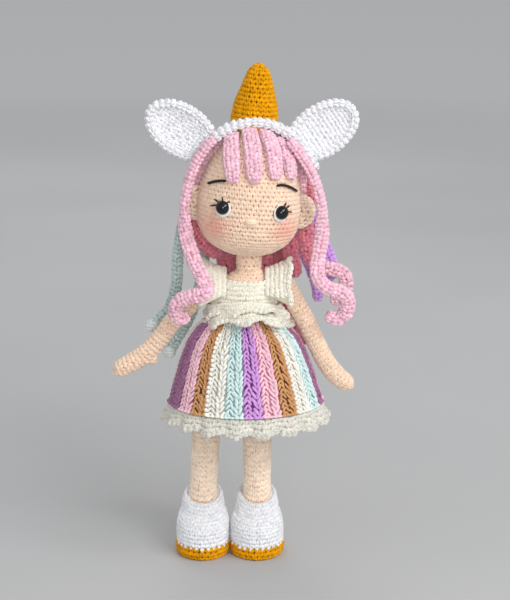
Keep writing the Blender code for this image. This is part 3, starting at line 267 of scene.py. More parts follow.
# How far stitches stay from the eyes, the neck and the arms, and where the cap hides them
EYE_CLEAR = 2.7
NECK_CLEAR = 0.6
CHIN_HEIGHT = 165
ARM_CLEAR = 3.6
ARMHOLE_IN = 13.0
ARMHOLE_FOOT = 130
BODICE_HIDES = (118, 143)
NECK_UNDER_HEAD = 2
BURIED_SHARE = 0.97
CAP_SLOPE = (0.9645, 0.2637)
CAP_BACK = 0.5
CAP_OUT = 3.3
CAP_RIM_OUT = 1.7
FACE_BACK = 3

# Sizes of the looks alone, in mm
SKIN_PRESS = 0.4
THUMB_SHARE = 0.72
THUMB_RADIUS = 2.6
THUMB_REACH = 4.2
SKIN_EAR_HALF = (7.8, 3.2, 8.6)
WHITE_EAR_HALF = (11.8, 3.4, 18.9)
EAR_ROPE_IN = 0.9
CURL_FROM = 43.5
SCALLOP_STEP = 0.6
BAND_FRONT = -4.3
BAND_BACK = 12.3
BAND_THICKNESS = 2.8
BAND_END = 6.0
HORN_BASE = Vector((2.1, 6.5, HEAD_CROWN + BAND_SEAT - 9.0))
HORN_TILT = math.radians(5.5)
HORN_FOOT = ((1.0, 11.6), (4.0, 11.5))
HORN_START = 9.0
HORN_LENGTH = 25.9
HORN_RADIUS = 11.3
HORN_SHARES = (
    (0.0, 1.0), (0.12, 0.97), (0.27, 0.90), (0.48, 0.74), (0.70, 0.585), (0.86, 0.44), (0.95, 0.28),
    (1.0, 0.08),
)
BODICE_FOOT = 126.3
BODICE_TOP = 145.2
BODICE_STAND = 1.8
SKIRT_OFFSET = -1 / 360
HEAVE_TURN = math.radians(270 + 27)
FOLD_LEAN = 0.45
# Rise, drop, flares to the side and to the front, wave, phase, shift, heave, lift and seed
WAIST_FRILLS = {
    "upper_waist_frill": (5.6, 5.4, (2.2, 4.2), 1.7, 3.6, 1.2, 3.2, 4.6, 160),
    "lower_waist_frill": (0.7, 5.0, (3.1, 7.0), 2.0, 1.2, 2.4, 1.0, 5.5, 164),
}
WAIST_FRILL_SEAT = 3.6
HEM_FRILL_IN = 0.6
SHOULDER_FRILL_DROP = 10.5
SHOULDER_FRILL_DEPTHS = (10.9, 15.5)
SHOULDER_FRILL_RISES = (11.0, 15.5)
SHOULDER_FRILL_SIDES = (9.5, 22.0)
SHOULDER_FRILL_FALL = 5.0
RUFFLE = 1.3
RUFFLES = 3.5

# Stitches: width, height and yarn radius; lift and flatness; height and width of a cell; how they are laid
STITCHES = {
    "head": ((2.6, 2.3, 0.83), {"rise": -0.5, "flat": 0.9, "reach": 1.12}, (2.25, 2.55),
             {"round_to": 6, "wobble": 0.045}),
    "torso": ((2.6, 2.35, 0.84), {"rise": -0.5, "flat": 0.9, "reach": 1.12}, (2.3, 2.6),
              {"wobble": 0.045}),
    "arm": ((2.6, 2.45, 0.84), {"rise": -0.5, "flat": 0.95, "reach": 1.12}, (2.4, 2.6),
            {"columns": 11, "start": 1.0, "short": 0.6, "lean": 0.12, "wobble": 0.045}),
    "thumb": ((2.2, 2.1, 0.84), {"rise": -0.25}, (1.8, 2.2), {"columns": 7}),
    "leg": ((2.6, 2.5, 0.84), {"rise": -0.5, "flat": 0.95, "reach": 1.12}, (2.45, 2.6),
            {"columns": 17, "start": 5.0, "short": 1.0, "lean": 0.08, "wobble": 0.045}),
    "skin_ear": ((2.5, 2.2, 0.84), {"rise": -0.3, "flat": 0.75}, (2.15, 2.5), {}),
    "boot": ((2.8, 2.3, 0.92), {"rise": -0.3, "flat": 0.72}, (2.2, 2.8),
             {"columns": 32, "lean": 0.5, "short": 1.0, "wobble": 0.08}),
    "sole": ((3.1, 2.6, 1.0), {"rise": -0.25, "flat": 0.8}, (2.5, 3.1),
             {"columns": 29, "lean": 0.5, "start": 1.2, "short": 0.6, "wobble": 0.07}),
    "cap": ((3.4, 2.9, 1.12), {"rise": -0.3, "flat": 0.8, "sides": 5}, (2.8, 3.4), {"round_to": 6}),
    "fringe": ((4.2, 2.2, 1.12), {"rise": -0.1, "ridge": True, "flat": 0.8}, (2.0, 4.2),
               {"columns": 4, "lean": 0.0, "wobble": 0.08}),
    "knot": ((2.2, 2.0, 0.8), {"rise": -0.2, "flat": 0.8}, (1.9, 2.2), {"lean": 0.5}),
    "band": ((3.0, 2.6, 1.0), {"rise": -0.25, "flat": 0.75, "sides": 5}, (2.5, 3.0),
             {"columns": 13, "lean": 0.5, "wobble": 0.07}),
    "horn": ((2.6, 2.25, 0.82), {"rise": -0.2, "flat": 0.9}, (2.2, 2.6),
             {"start": 0.3, "short": 0.4, "lean": 0.5, "wobble": 0.06}),
    "white_ear": ((2.6, 2.2, 0.88), {"rise": -0.3, "flat": 0.7}, (2.1, 2.6),
                  {"lean": 0.5, "wobble": 0.08}),
    "bodice": ((2.5, 2.5, 0.88), {"rise": -0.1, "flat": 0.7}, (2.4, 2.5),
               {"columns": 38, "lean": 0.0, "short": 0.4, "wobble": 0.07}),
    "waist_frill": ((2.4, 2.3, 0.84), {"rise": -0.1, "flat": 0.7, "sides": 5}, (2.2, 2.4),
                    {"columns": 64, "lean": 0.5, "short": 0.8, "wobble": 0.07}),
    "hem_frill": ((2.9, 2.7, 1.0), {"rise": -0.1, "flat": 0.7, "sides": 5}, (2.6, 2.9),
                  {"columns": 96, "lean": 0.5, "short": 0.8, "wobble": 0.08}),
    "shoulder_frill": ((2.3, 2.4, 0.82), {"rise": -0.1, "flat": 0.7}, (2.3, 2.3),
                       {"columns": 26, "lean": 0.5, "short": 0.8, "wobble": 0.08}),
}

# The photograph's view and the studio, in metres and degrees
CAMERA_PLACE = (0.0111, -0.8004, 0.318)
CAMERA_DOWN = 13
CAMERA_SENSOR = 36.0
CAMERA_FOCUS = 1611
PHOTO_HEIGHT = 600
FLOOR_REACH = 15.0
SKY_COLOUR = (0.86, 0.88, 0.90, 1)
SKY_STRENGTH = 0.58
LIGHT_AIM = (0, 0, 0.13)
# Name, place, size, power and spread, which is 0 where it stays as wide as it comes
LIGHTS = (
    ("key_light", (0.78, -1.05, 0.98), 0.7, 8.9, 0),
    ("front_light", (0.05, -1.50, 0.42), 0.5, 0.74, 60),
    ("back_light", (-0.2, 1.1, 1.1), 0.9, 5.0, 0),
    ("catch_light", (0.86, -0.38, 0.93), 0.3, 2.5, 0),
)


def linear(colour):
    share = np.asarray(colour, float) / 255
    return np.where(share <= 0.04045, share / 12.92, ((share + 0.055) / 1.055) ** 2.4)


def smooth(rows, steps):
    """A Catmull-Rom curve through rows of numbers."""
    rows = np.asarray(rows, float)
    last = len(rows) - 1
    route = []
    for index in range(last):
        before = rows[max(index - 1, 0)]
        start = rows[index]
        end = rows[index + 1]
        after = rows[min(index + 2, last)]
        for step in range(steps):
            t = step / steps
            route.append(0.5 * (
                2 * start + (end - before) * t
                + (2 * before - 5 * start + 4 * end - after) * t ** 2
                + (3 * start - before - 3 * end + after) * t ** 3
            ))
    route.append(rows[-1])
    return np.array(route)


def between(ends, share):
    return ends[0] + (ends[1] - ends[0]) * share


def unit(vectors):
    length = np.linalg.norm(vectors, axis=-1, keepdims=True)
    return vectors / np.maximum(length, 1e-9)


class Surface:
    """A skin given by rows of points, each row round the piece or across it."""

    def __init__(self, points, closed=True, outward=None):
        points = np.asarray(points, float)
        if closed:
            points = np.concatenate([points, points[:, :1]], axis=1)
        self.closed = closed
        self.points = points
        across = np.gradient(points, axis=1)
        if closed:
            turn = points[:, 1] - points[:, -2]
            across[:, 0] = turn
            across[:, -1] = turn
        along = np.gradient(points, axis=0)
        normals = unit(np.cross(across, along))
        if outward is None:
            outward = points - points.mean(axis=1, keepdims=True)
        elif closed:
            outward = np.concatenate([outward, outward[:, :1]], axis=1)
        if (normals * outward).sum() < 0:
            normals = -normals
        self.normals = normals
        steps = np.linalg.norm(np.diff(points, axis=0), axis=2).mean(axis=1)
        self.along = np.concatenate([[0], np.cumsum(steps)])
        self.girths = np.linalg.norm(np.diff(points, axis=1), axis=2).sum(axis=1)

    @property
    def length(self):
        return self.along[-1]

    def girth(self, s):
        return np.interp(s, self.along, self.girths)

    def at(self, u, s):
        """Points and outward directions at u and s."""
        rows, columns = self.points.shape[:2]
        u = np.mod(u, 1) if self.closed else np.clip(u, 0, 1)
        x = u * (columns - 1)
        y = np.interp(s, self.along, np.arange(rows))
        i = np.minimum(x.astype(int), columns - 2)
        j = np.minimum(y.astype(int), rows - 2)
        fx = (x - i)[..., None]
        fy = (y - j)[..., None]

        def mix(grid):
            low = grid[j, i] * (1 - fx) + grid[j, i + 1] * fx
            high = grid[j + 1, i] * (1 - fx) + grid[j + 1, i + 1] * fx
            return low * (1 - fy) + high * fy

        return mix(self.points), unit(mix(self.normals))


def tube(path, radii, sides=6, flat=1.0, twist=0.0):
    """A closed yarn tube as points, quads, triangles and the places for its ply lines."""
    path = np.asarray(path, float)
    radii = np.asarray(radii, float)
    count = len(path)
    ahead = unit(np.gradient(path, axis=0))
    up = np.array((0, 0, 1.0))
    side = unit(np.cross(ahead, up))
    lift = np.cross(side, ahead)
    angles = TAU * np.arange(sides) / sides + twist
    ring = (
        side[:, None] * np.cos(angles)[None, :, None]
        + flat * lift[:, None] * np.sin(angles)[None, :, None]
    )
    points = (path[:, None] + ring * radii[:, None, None]).reshape(-1, 3)
    start = path[0] - ahead[0] * radii[0] * 0.55
    end = path[-1] + ahead[-1] * radii[-1] * 0.55
    points = np.concatenate([points, [start, end]])
    steps = np.concatenate([[0], np.cumsum(np.linalg.norm(np.diff(path, axis=0), axis=1))])
    quads = []
    quad_places = []
    for row in range(count - 1):
        for index in range(sides):
            after = (index + 1) % sides
            quads.append((row * sides + index, row * sides + after,
                          (row + 1) * sides + after, (row + 1) * sides + index))
            here = index / sides
            there = (index + 1) / sides
            quad_places.append(((steps[row], here), (steps[row], there),
                                (steps[row + 1], there), (steps[row + 1], here)))
    triangles = []
    triangle_places = []
    top = (count - 1) * sides
    for index in range(sides):
        after = (index + 1) % sides
        here = index / sides
        there = (index + 1) / sides
        triangles.append((after, index, count * sides))
        triangle_places.append(((0, there), (0, here), (-radii[0], here)))
        triangles.append((top + index, top + after, count * sides + 1))
        triangle_places.append(((steps[-1], here), (steps[-1], there), (steps[-1] + radii[-1], here)))
    return {
        "points": points, "quads": np.array(quads), "triangles": np.array(triangles),
        "quad_places": np.array(quad_places), "triangle_places": np.array(triangle_places),
    }


def join(tubes):
    made = {key: [] for key in tubes[0]}
    start = 0
    for item in tubes:
        for key, value in item.items():
            made[key].append(value + start if key in ("quads", "triangles") else value)
        start += len(item["points"])
    return {key: np.concatenate(value) for key, value in made.items()}


def mirrored(item):
    copy = dict(item)
    copy["points"] = item["points"] * (-1, 1, 1)
    copy["quads"] = item["quads"][:, ::-1]
    copy["quad_places"] = item["quad_places"][:, ::-1]
    copy["triangles"] = item["triangles"][:, ::-1]
    copy["triangle_places"] = item["triangle_places"][:, ::-1]
    return copy


def v_stitch(width, height, radius, rise=0.35, sides=6, ridge=False, reach=1.0, flat=0.9):
    """Two yarn legs that meet in a V. With ridge they are highest where they meet."""
    half = width / 2
    up = height / 2 * reach
    low = rise - radius * 0.55 * flat / 0.9
    high = rise + radius * 0.25 * flat / 0.9
    if ridge:
        path = ((-half * 0.86, up * 1.05, low - radius * 0.4), (-half * 0.66, up * 0.45, rise),
                (-half * 0.40, -up * 0.25, high), (-half * 0.12, -up * 1.0, low))
        radii = (radius * 0.74, radius * 1.0, radius * 1.0, radius * 0.6)
    else:
        path = ((-half * 0.80, up * 1.02, low), (-half * 0.62, up * 0.35, high),
                (-half * 0.36, -up * 0.38, high), (-half * 0.10, -up * 1.06, low))
        radii = (radius * 0.62, radius * 1.0, radius * 0.98, radius * 0.60)
    leg = tube(path, radii, sides=sides, flat=flat)
    item = join([leg, mirrored(leg)])
    return scaled(item, width, height)


def scaled(item, width, height):
    """Write a template's points in shares of its cell and note how deep each lies."""
    points = item["points"]
    high = points[:, 2].max()
    low = points[:, 2].min()
    item = dict(item)
    item["depth"] = np.clip((points[:, 2] - low) / (high - low), 0, 1)
    item["points"] = points / (width, height, 1)
    return item


class Piece:
    """Gathers the parts of one mesh: its ground and its stitches."""

    def __init__(self, name, seed):
        self.name = name
        self.random = np.random.default_rng(seed)
        self.count = 0
        self.points = []
        self.quads = []
        self.triangles = []
        self.quad_places = []
        self.triangle_places = []
        self.depth = []
        self.tone = []
        self.dye = []
        self.painted_shade = []

    def add(self, points, quads, triangles, quad_places, triangle_places, depth, tone, dye, painted_shade):
        points = np.asarray(points, float).reshape(-1, 3)
        count = len(points)
        self.points.append(points)
        self.quads.append(np.asarray(quads, int).reshape(-1, 4) + self.count)
        self.triangles.append(np.asarray(triangles, int).reshape(-1, 3) + self.count)
        self.quad_places.append(np.asarray(quad_places, float).reshape(-1, 4, 2))
        self.triangle_places.append(np.asarray(triangle_places, float).reshape(-1, 3, 2))
        self.depth.append(np.broadcast_to(depth, count))
        self.tone.append(np.broadcast_to(tone, count))
        self.dye.append(np.broadcast_to(dye, (count, 3)))
        self.painted_shade.append(np.broadcast_to(painted_shade, (count, 3)))
        self.count += count

    def ground(self, node, yarn, press=0.0, reshape=None):
        """The node's own closed form, in the painted shade of the holes between the stitches."""
        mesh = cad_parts[node].data
        count = len(mesh.vertices)
        points = np.zeros(count * 3)
        mesh.vertices.foreach_get("co", points)
        points = points.reshape(-1, 3) / MM - SHIFT
        if press:
            normals = np.zeros(count * 3)
            mesh.vertices.foreach_get("normal", normals)
            points = points - normals.reshape(-1, 3) * press
        if reshape:
            points = reshape(points)
        mesh.calc_loop_triangles()
        triangles = np.zeros(len(mesh.loop_triangles) * 3, int)
        mesh.loop_triangles.foreach_get("vertices", triangles)
        triangles = triangles.reshape(-1, 3)
        dye, painted_shade = (linear(colour) for colour in yarn)
        self.add(points, [], triangles, [], points[triangles][:, :, :2], 0.12, 0.5, dye, painted_shade)

    def shell(self, surface, thickness, yarn, colour=None):
        """A closed sheet along the surface, in the painted shade of the holes."""
        rows, columns = surface.points.shape[:2]
        if surface.closed:
            columns -= 1
        outer = surface.points[:, :columns]
        inner = outer - surface.normals[:, :columns] * thickness
        points = np.concatenate([outer, inner[::-1]]).reshape(-1, 3)
        total = rows * 2
        quads = []
        for row in range(total):
            after = (row + 1) % total
            for index in range(columns if surface.closed else columns - 1):
                beside = (index + 1) % columns
                quads.append((row * columns + index, row * columns + beside,
                              after * columns + beside, after * columns + index))
        if not surface.closed:
            for row in range(rows - 1):
                opposite = total - 1 - row
                quads.append((row * columns, (row + 1) * columns,
                              (opposite - 1) * columns, opposite * columns))
                end = columns - 1
                quads.append(((row + 1) * columns + end, row * columns + end,
                              opposite * columns + end, (opposite - 1) * columns + end))
        quads = np.array(quads)
        volume = signed_volume(points, quads)
        if volume < 0:
            quads = quads[:, ::-1]
        dye, painted_shade = (linear(shade) for shade in yarn)
        if colour is not None:
            u = np.linspace(0, 1, columns, endpoint=not surface.closed)
            dye, painted_shade = colour(np.tile(u, total))
        self.add(points, quads, [], points[quads][:, :, :2], [], 0.12, 0.5, dye, painted_shade)

    def shell_tube(self, surface, yarn, sink=0.3):
        """A closed ground a little inside a tube's skin, mostly in the second colour it is given, the
        painted shade of the holes.
        """
        rows, columns = surface.points.shape[:2]
        columns -= 1
        points = (surface.points - surface.normals * sink)[:, :columns]
        first = points[0].mean(axis=0)
        last = points[-1].mean(axis=0)
        flat = np.concatenate([points.reshape(-1, 3), [first, last]])
        quads = []
        triangles = []
        for row in range(rows - 1):
            for index in range(columns):
                beside = (index + 1) % columns
                quads.append((row * columns + index, row * columns + beside,
                              (row + 1) * columns + beside, (row + 1) * columns + index))
        end = (rows - 1) * columns
        for index in range(columns):
            beside = (index + 1) % columns
            triangles.append((beside, index, rows * columns))
            triangles.append((end + index, end + beside, rows * columns + 1))
        quads = np.array(quads)
        triangles = np.array(triangles)
        if signed_volume(flat, quads) < 0:
            quads = quads[:, ::-1]
            triangles = triangles[:, ::-1]
        dye, painted_shade = (linear(shade) for shade in yarn)
        self.add(flat, quads, triangles, flat[quads][:, :, :2], flat[triangles][:, :, :2], 0.15, 0.5,
                 dye, painted_shade)

    def stitches(self, surface, template, row_height, width, yarn, columns=None, start=0.0,
                 stop=None, short=0.0, lean=0.35, offset=0.0, keep=None, colour=None, wobble=0.05,
                 round_to=1, only_columns=None):
        """Lay the template on every cell of the surface, to stop or to short of its end."""
        stop = surface.length - short if stop is None else stop
        rows = max(1, round((stop - start) / row_height))
        height = (stop - start) / rows
        us = []
        ss = []
        cells = []
        numbers = []
        for row in range(rows):
            s = start + (row + 0.5) * height
            count = columns or max(5, round(surface.girth(s) / width / round_to) * round_to)
            index = np.arange(count)
            if only_columns is not None:
                index = index[only_columns(index)]
            us.append((index + 0.5 + lean * row) / count + offset)
            ss.append(np.full(len(index), s))
            cells.append(np.full(len(index), 1 / count))
            numbers.append(index)
        u = np.concatenate(us)
        s = np.concatenate(ss)
        cell = np.concatenate(cells)
        number = np.concatenate(numbers)
        centre, _ = surface.at(u, s)
        if keep is not None:
            chosen = keep(centre)
            u, s, cell, number, centre = u[chosen], s[chosen], cell[chosen], number[chosen], centre[chosen]
        count = len(u)
        if not count:
            return
        random = self.random
        turn = random.normal(0, wobble, count)[:, None]
        push = random.normal(0, wobble * 0.8, (count, 2))
        swell = 1 + random.normal(0, wobble, count)[:, None]
        a, b, h = template["points"].T
        aa = (a[None] * np.cos(turn) - b[None] * np.sin(turn)) * swell + push[:, :1]
        bb = (b[None] * np.cos(turn) + a[None] * np.sin(turn)) + push[:, 1:]
        points, normals = surface.at(u[:, None] + aa * cell[:, None], s[:, None] + bb * height)
        points = points + normals * (h[None, :, None] + random.normal(0, wobble, count)[:, None, None])
        if colour is not None:
            dye, painted_shade = colour(u, number, centre)
            dye = np.repeat(dye, len(a), axis=0)
            painted_shade = np.repeat(painted_shade, len(a), axis=0)
        else:
            dye, painted_shade = (linear(shade) for shade in yarn)
        self.lay(template, points, random.random(count), dye, painted_shade)

    def knit(self, kind, surface, yarn, **more):
        """Lay the V stitches of a kind in STITCHES on the surface."""
        form, looks, cell, habits = STITCHES[kind]
        self.stitches(surface, v_stitch(*form, **looks), *cell, yarn, **habits, **more)

    def lay(self, template, points, tone, dye, painted_shade):
        """Add one copy of the template for each row of points."""
        count, size = points.shape[:2]
        shift = (np.arange(count) * size)[:, None, None]
        quads = (template["quads"][None] + shift).reshape(-1, 4)
        triangles = (template["triangles"][None] + shift).reshape(-1, 3)
        self.add(
            points, quads, triangles,
            np.tile(template["quad_places"], (count, 1, 1)),
            np.tile(template["triangle_places"], (count, 1, 1)),
            np.tile(template["depth"], count), np.repeat(tone, size), dye, painted_shade,
        )

    def yarn_line(self, path, radius, yarn, sides=8, flat=1.0, ends=0.7):
        """One free strand of yarn along a path in doll space."""
        path = np.asarray(path, float)
        radii = np.full(len(path), radius)
        radii[0] = radii[-1] = radius * ends
        item = tube(path, radii, sides=sides, flat=flat)
        dye, painted_shade = (linear(shade) for shade in yarn)
        self.add(item["points"], item["quads"], item["triangles"], item["quad_places"],
                 item["triangle_places"], 0.9, self.random.random(), dye, painted_shade)

    def make(self, material):
        points = (np.concatenate(self.points) + SHIFT) * MM
        quads = np.concatenate(self.quads)
        triangles = np.concatenate(self.triangles)
        mesh = bpy.data.meshes.new(self.name)
        mesh.vertices.add(len(points))
        mesh.vertices.foreach_set("co", points.ravel())
        corners = np.concatenate([quads.ravel(), triangles.ravel()])
        starts = np.concatenate([
            np.arange(len(quads)) * 4, len(quads) * 4 + np.arange(len(triangles)) * 3,
        ])
        mesh.loops.add(len(corners))
        mesh.loops.foreach_set("vertex_index", corners.astype(np.int32))
        mesh.polygons.add(len(starts))
        mesh.polygons.foreach_set("loop_start", starts.astype(np.int32))
        mesh.update(calc_edges=True)
        mesh.validate()
        mesh.shade_smooth()
        places = np.concatenate([
            np.concatenate(self.quad_places).reshape(-1, 2),
            np.concatenate(self.triangle_places).reshape(-1, 2),
        ])
        layer = mesh.uv_layers.new(name="plies")
        layer.data.foreach_set("uv", places.astype(np.float32).ravel())
        for name, values in (("depth", self.depth), ("tone", self.tone)):
            attribute = mesh.attributes.new(name, "FLOAT", "POINT")
            attribute.data.foreach_set("value", np.concatenate(values).astype(np.float32))
        for name, values in (("dye", self.dye), ("painted_shade", self.painted_shade)):
            attribute = mesh.attributes.new(name, "FLOAT_COLOR", "POINT")
            colours = np.ones((len(points), 4), np.float32)
            colours[:, :3] = np.concatenate(values)
            attribute.data.foreach_set("color", colours.ravel())
        thing = bpy.data.objects.new(self.name, mesh)
        bpy.context.scene.collection.objects.link(thing)
        mesh.materials.append(material)
        return thing


def signed_volume(points, quads):
    a, b, c, d = (points[quads[:, index]] for index in range(4))
    return ((a * np.cross(b, c)).sum() + (a * np.cross(c, d)).sum()) / 6


class Nodes:
    """Short calls for building a material."""

    def __init__(self, name):
        self.material = bpy.data.materials.new(name)
        self.material.use_nodes = True
        self.tree = self.material.node_tree
        self.shader = self.tree.nodes["Principled BSDF"]

    def new(self, kind, **values):
        node = self.tree.nodes.new("ShaderNode" + kind)
        for key, value in values.items():
            setattr(node, key, value)
        return node

    def link(self, source, target):
        self.tree.links.new(source, target)

    def put(self, socket, value):
        if isinstance(value, bpy.types.NodeSocket):
            self.link(value, socket)
        else:
            socket.default_value = value

    def math(self, operation, first, second=0.0):
        node = self.new("Math", operation=operation)
        self.put(node.inputs[0], first)
        self.put(node.inputs[1], second)
        return node.outputs[0]

    def mix(self, factor, first, second, blend="MIX"):
        node = self.new("Mix", data_type="RGBA", blend_type=blend)
        self.put(node.inputs[0], factor)
        self.put(node.inputs[6], first)
        self.put(node.inputs[7], second)
        return node.outputs[2]

    def ramp(self, value, low, high, bottom=0.0, top=1.0):
        node = self.new("MapRange", interpolation_type="SMOOTHSTEP")
        self.put(node.inputs[0], value)
        node.inputs[1].default_value = low
        node.inputs[2].default_value = high
        node.inputs[3].default_value = bottom
        node.inputs[4].default_value = top
        return node.outputs[0]

    def noise(self, scale, detail=3.0):
        place = self.new("TexCoord")
        node = self.new("TexNoise")
        self.link(place.outputs["Object"], node.inputs["Vector"])
        node.inputs["Scale"].default_value = scale
        node.inputs["Detail"].default_value = detail
        return node.outputs["Fac"]


def yarn_material(name, plies=3, pitch=1.9, marl=0.10, bump=0.35, sheen=0.35, roughness=0.82,
                  specular=0.25):
    """Twisted yarn: ply lines with painted shade in their valleys, loose fibres, a marl of light and dark,
    and painted shade low in each stitch and in its holes.
    """
    nodes = Nodes(name)
    dye = nodes.new("Attribute", attribute_name="dye").outputs["Color"]
    painted_shade = nodes.new("Attribute", attribute_name="painted_shade").outputs["Color"]
    depth = nodes.new("Attribute", attribute_name="depth").outputs["Fac"]
    tone = nodes.new("Attribute", attribute_name="tone").outputs["Fac"]
    uv = nodes.new("UVMap", uv_map="plies")
    split = nodes.new("SeparateXYZ")
    nodes.link(uv.outputs[0], split.inputs[0])
    turns = nodes.math("MULTIPLY", split.outputs[1], float(plies))
    run = nodes.math("DIVIDE", split.outputs[0], pitch / plies)
    angle = nodes.math("MULTIPLY", nodes.math("ADD", turns, run), TAU)
    ply = nodes.math("ADD", nodes.math("MULTIPLY", nodes.math("SINE", angle), 0.5), 0.5)
    fibre = nodes.noise(5200.0, 4.0)
    patch = nodes.noise(420.0, 2.0)
    light = nodes.math("ADD", nodes.math("MULTIPLY", tone, marl), 1 - marl * 0.5)
    light = nodes.math("MULTIPLY", light, nodes.ramp(patch, 0.3, 0.7, 1 - marl, 1 + marl * 0.7))
    # Painted shade: the valleys between the plies are darkened by up to a tenth.
    light = nodes.math("MULTIPLY", light, nodes.ramp(ply, 0.0, 0.5, 0.90, 1.0))
    light = nodes.math("MULTIPLY", light, nodes.ramp(fibre, 0.3, 0.7, 0.94, 1.05))
    combine = nodes.new("CombineColor")
    for index in range(3):
        nodes.link(light, combine.inputs[index])
    # Painted shade: low on each stitch and on the ground, the dye turns to the darker colour painted into
    # the holes.
    colour = nodes.mix(nodes.ramp(depth, 0.12, 0.45), painted_shade, dye)
    colour = nodes.mix(1.0, colour, combine.outputs[0], blend="MULTIPLY")
    nodes.link(colour, nodes.shader.inputs["Base Color"])
    height = nodes.math("ADD", nodes.math("MULTIPLY", ply, 0.7), nodes.math("MULTIPLY", fibre, 0.5))
    relief = nodes.new("Bump")
    relief.inputs["Strength"].default_value = bump
    relief.inputs["Distance"].default_value = 0.00012
    nodes.link(height, relief.inputs["Height"])
    nodes.link(relief.outputs[0], nodes.shader.inputs["Normal"])
    nodes.shader.inputs["Roughness"].default_value = roughness
    nodes.shader.inputs["Sheen Weight"].default_value = sheen
    nodes.shader.inputs["Sheen Roughness"].default_value = 0.45
    nodes.shader.inputs["Specular IOR Level"].default_value = specular
    return nodes.material


def plastic_material(name, colour, roughness, fine):
    nodes = Nodes(name)
    cloud = nodes.noise(fine, 2.0)
    tint = (*linear(colour), 1)
    light = tuple(min(1, part * 1.25 + 0.002) for part in tint[:3]) + (1,)
    nodes.link(nodes.mix(nodes.ramp(cloud, 0.35, 0.65), tint, light),
               nodes.shader.inputs["Base Color"])
    nodes.link(nodes.ramp(nodes.noise(fine * 3, 2.0), 0.3, 0.7, roughness * 0.85, roughness * 1.2),
               nodes.shader.inputs["Roughness"])
    return nodes.material


# Surfaces

def ovals(rows, columns=96):
    """Rows of level ovals: centre x, centre y, height, half width, half depth and slope."""
    rows = np.asarray(rows, float)
    angle = TAU * np.arange(columns) / columns + math.pi / 2
    x = rows[:, 0:1] + rows[:, 3:4] * np.cos(angle)
    back = rows[:, 4:5] * np.sin(angle)
    y = rows[:, 1:2] + back
    z = rows[:, 2:3] + rows[:, 5:6] * back
    return np.stack([x, y, z], axis=2)


def head_local(points):
    return (np.asarray(points) - HEAD_CENTRE) @ HEAD_TURN


def head_world(points):
    return np.asarray(points) @ HEAD_TURN.T + HEAD_CENTRE


def chin_ring(rise):
    """Width share of the head at a rise share: rounder above, squarer toward the chin."""
    power = np.where(rise < 0, CHIN_POWER, 2.0)
    return np.sqrt(np.clip(1 - np.abs(rise) ** power, 0, 1))


def head_surface(grow, widen=0.0, aside=0.0, columns=128, rows=96):
    """The head's egg, from the chin to the crown."""
    angle = np.linspace(0.02, math.pi - 0.02, rows)
    turn = TAU * np.arange(columns) / columns + math.pi / 2
    rise = -np.cos(angle)
    half = np.where(rise > 0, HEAD_CROWN, HEAD_CHIN) + grow
    ring = chin_ring(rise)[:, None]
    grid = np.stack([
        ring * np.cos(turn) * (HEAD_HALF[0] + grow + widen) + aside,
        ring * np.sin(turn) * (HEAD_HALF[1] + grow),
        np.repeat((rise * half)[:, None], columns, axis=1),
    ], axis=2)
    return Surface(head_world(grid))


def face_point(across, rise, lift=0.0):
    """A point on the front of the head and its outward direction, in doll space."""
    half = HEAD_CROWN if rise > 0 else HEAD_CHIN
    power = 2.0 if rise > 0 else CHIN_POWER
    level = abs(rise) / half
    inside = 1 - (across / HEAD_HALF[0]) ** 2 - level ** power
    back = -HEAD_HALF[1] * math.sqrt(max(inside, 0))
    upward = math.copysign(power / 2 * level ** (power - 1) / half, rise)
    normal = unit(np.array((across / HEAD_HALF[0] ** 2, back / HEAD_HALF[1] ** 2, upward)))
    point = np.array((across, back, rise)) + normal * lift
    return head_world(point), HEAD_TURN @ normal


def torso_section(height):
    share = (height - TORSO_BOTTOM) / TORSO_LENGTH
    centre = HIP_CENTRE_X + (NECK_X - HIP_CENTRE_X) * min(max(share, 0), 1)
    table = np.array(TORSO_SHARES)
    half_width = np.interp(share, table[:, 0], table[:, 1]) * TORSO_HALF[0]
    half_depth = np.interp(share, table[:, 0], table[:, 2]) * TORSO_HALF[1]
    return centre, half_width, half_depth


def torso_surface():
    rows = []
    for share, _, _ in TORSO_SHARES:
        height = TORSO_BOTTOM + share * TORSO_LENGTH
        centre, half_width, half_depth = torso_section(height)
        rows.append((centre, 0, height, half_width, half_depth, 0))
    for height in (NECK_ROOT, NECK_ROOT + NECK_SHOWN / 2, NECK_ROOT + NECK_SHOWN + 4):
        rows.append((NECK_X, 0, height, NECK_RADIUS, NECK_RADIUS, 0))
    return Surface(ovals(smooth(rows, 6)))


def strip_surface(route, normals, half_widths, half_thicknesses, columns=32):
    """A flat rounded tube along a route; u is even round its section and 0 at one side."""
    route = np.asarray(route, float)
    ahead = unit(np.gradient(route, axis=0))
    side = unit(np.cross(ahead, normals))
    up = np.cross(side, ahead)
    fine = np.linspace(0, TAU, 721)
    grid = []
    for point, across, out, half_width, half_thickness in zip(
            route, side, up, half_widths, half_thicknesses):
        c = np.cos(fine)
        t = np.sin(fine)
        x = np.sign(c) * np.abs(c) ** 0.8 * half_width
        y = np.sign(t) * np.abs(t) ** 0.8 * half_thickness
        steps = np.concatenate([[0], np.cumsum(np.hypot(np.diff(x), np.diff(y)))])
        place = np.linspace(0, steps[-1], columns, endpoint=False)
        xs = np.interp(place, steps, x)
        ys = np.interp(place, steps, y)
        grid.append(point + xs[:, None] * across + ys[:, None] * out)
    return Surface(grid)


def even(route, step):
    """Space a route's rows evenly along its first three numbers."""
    route = np.asarray(route, float)
    steps = np.linalg.norm(np.diff(route[:, :3], axis=0), axis=1)
    along = np.concatenate([[0], np.cumsum(steps)])
    count = max(3, round(along[-1] / step))
    place = np.linspace(0, along[-1], count + 1)
    return np.stack([np.interp(place, along, column) for column in route.T], axis=1)


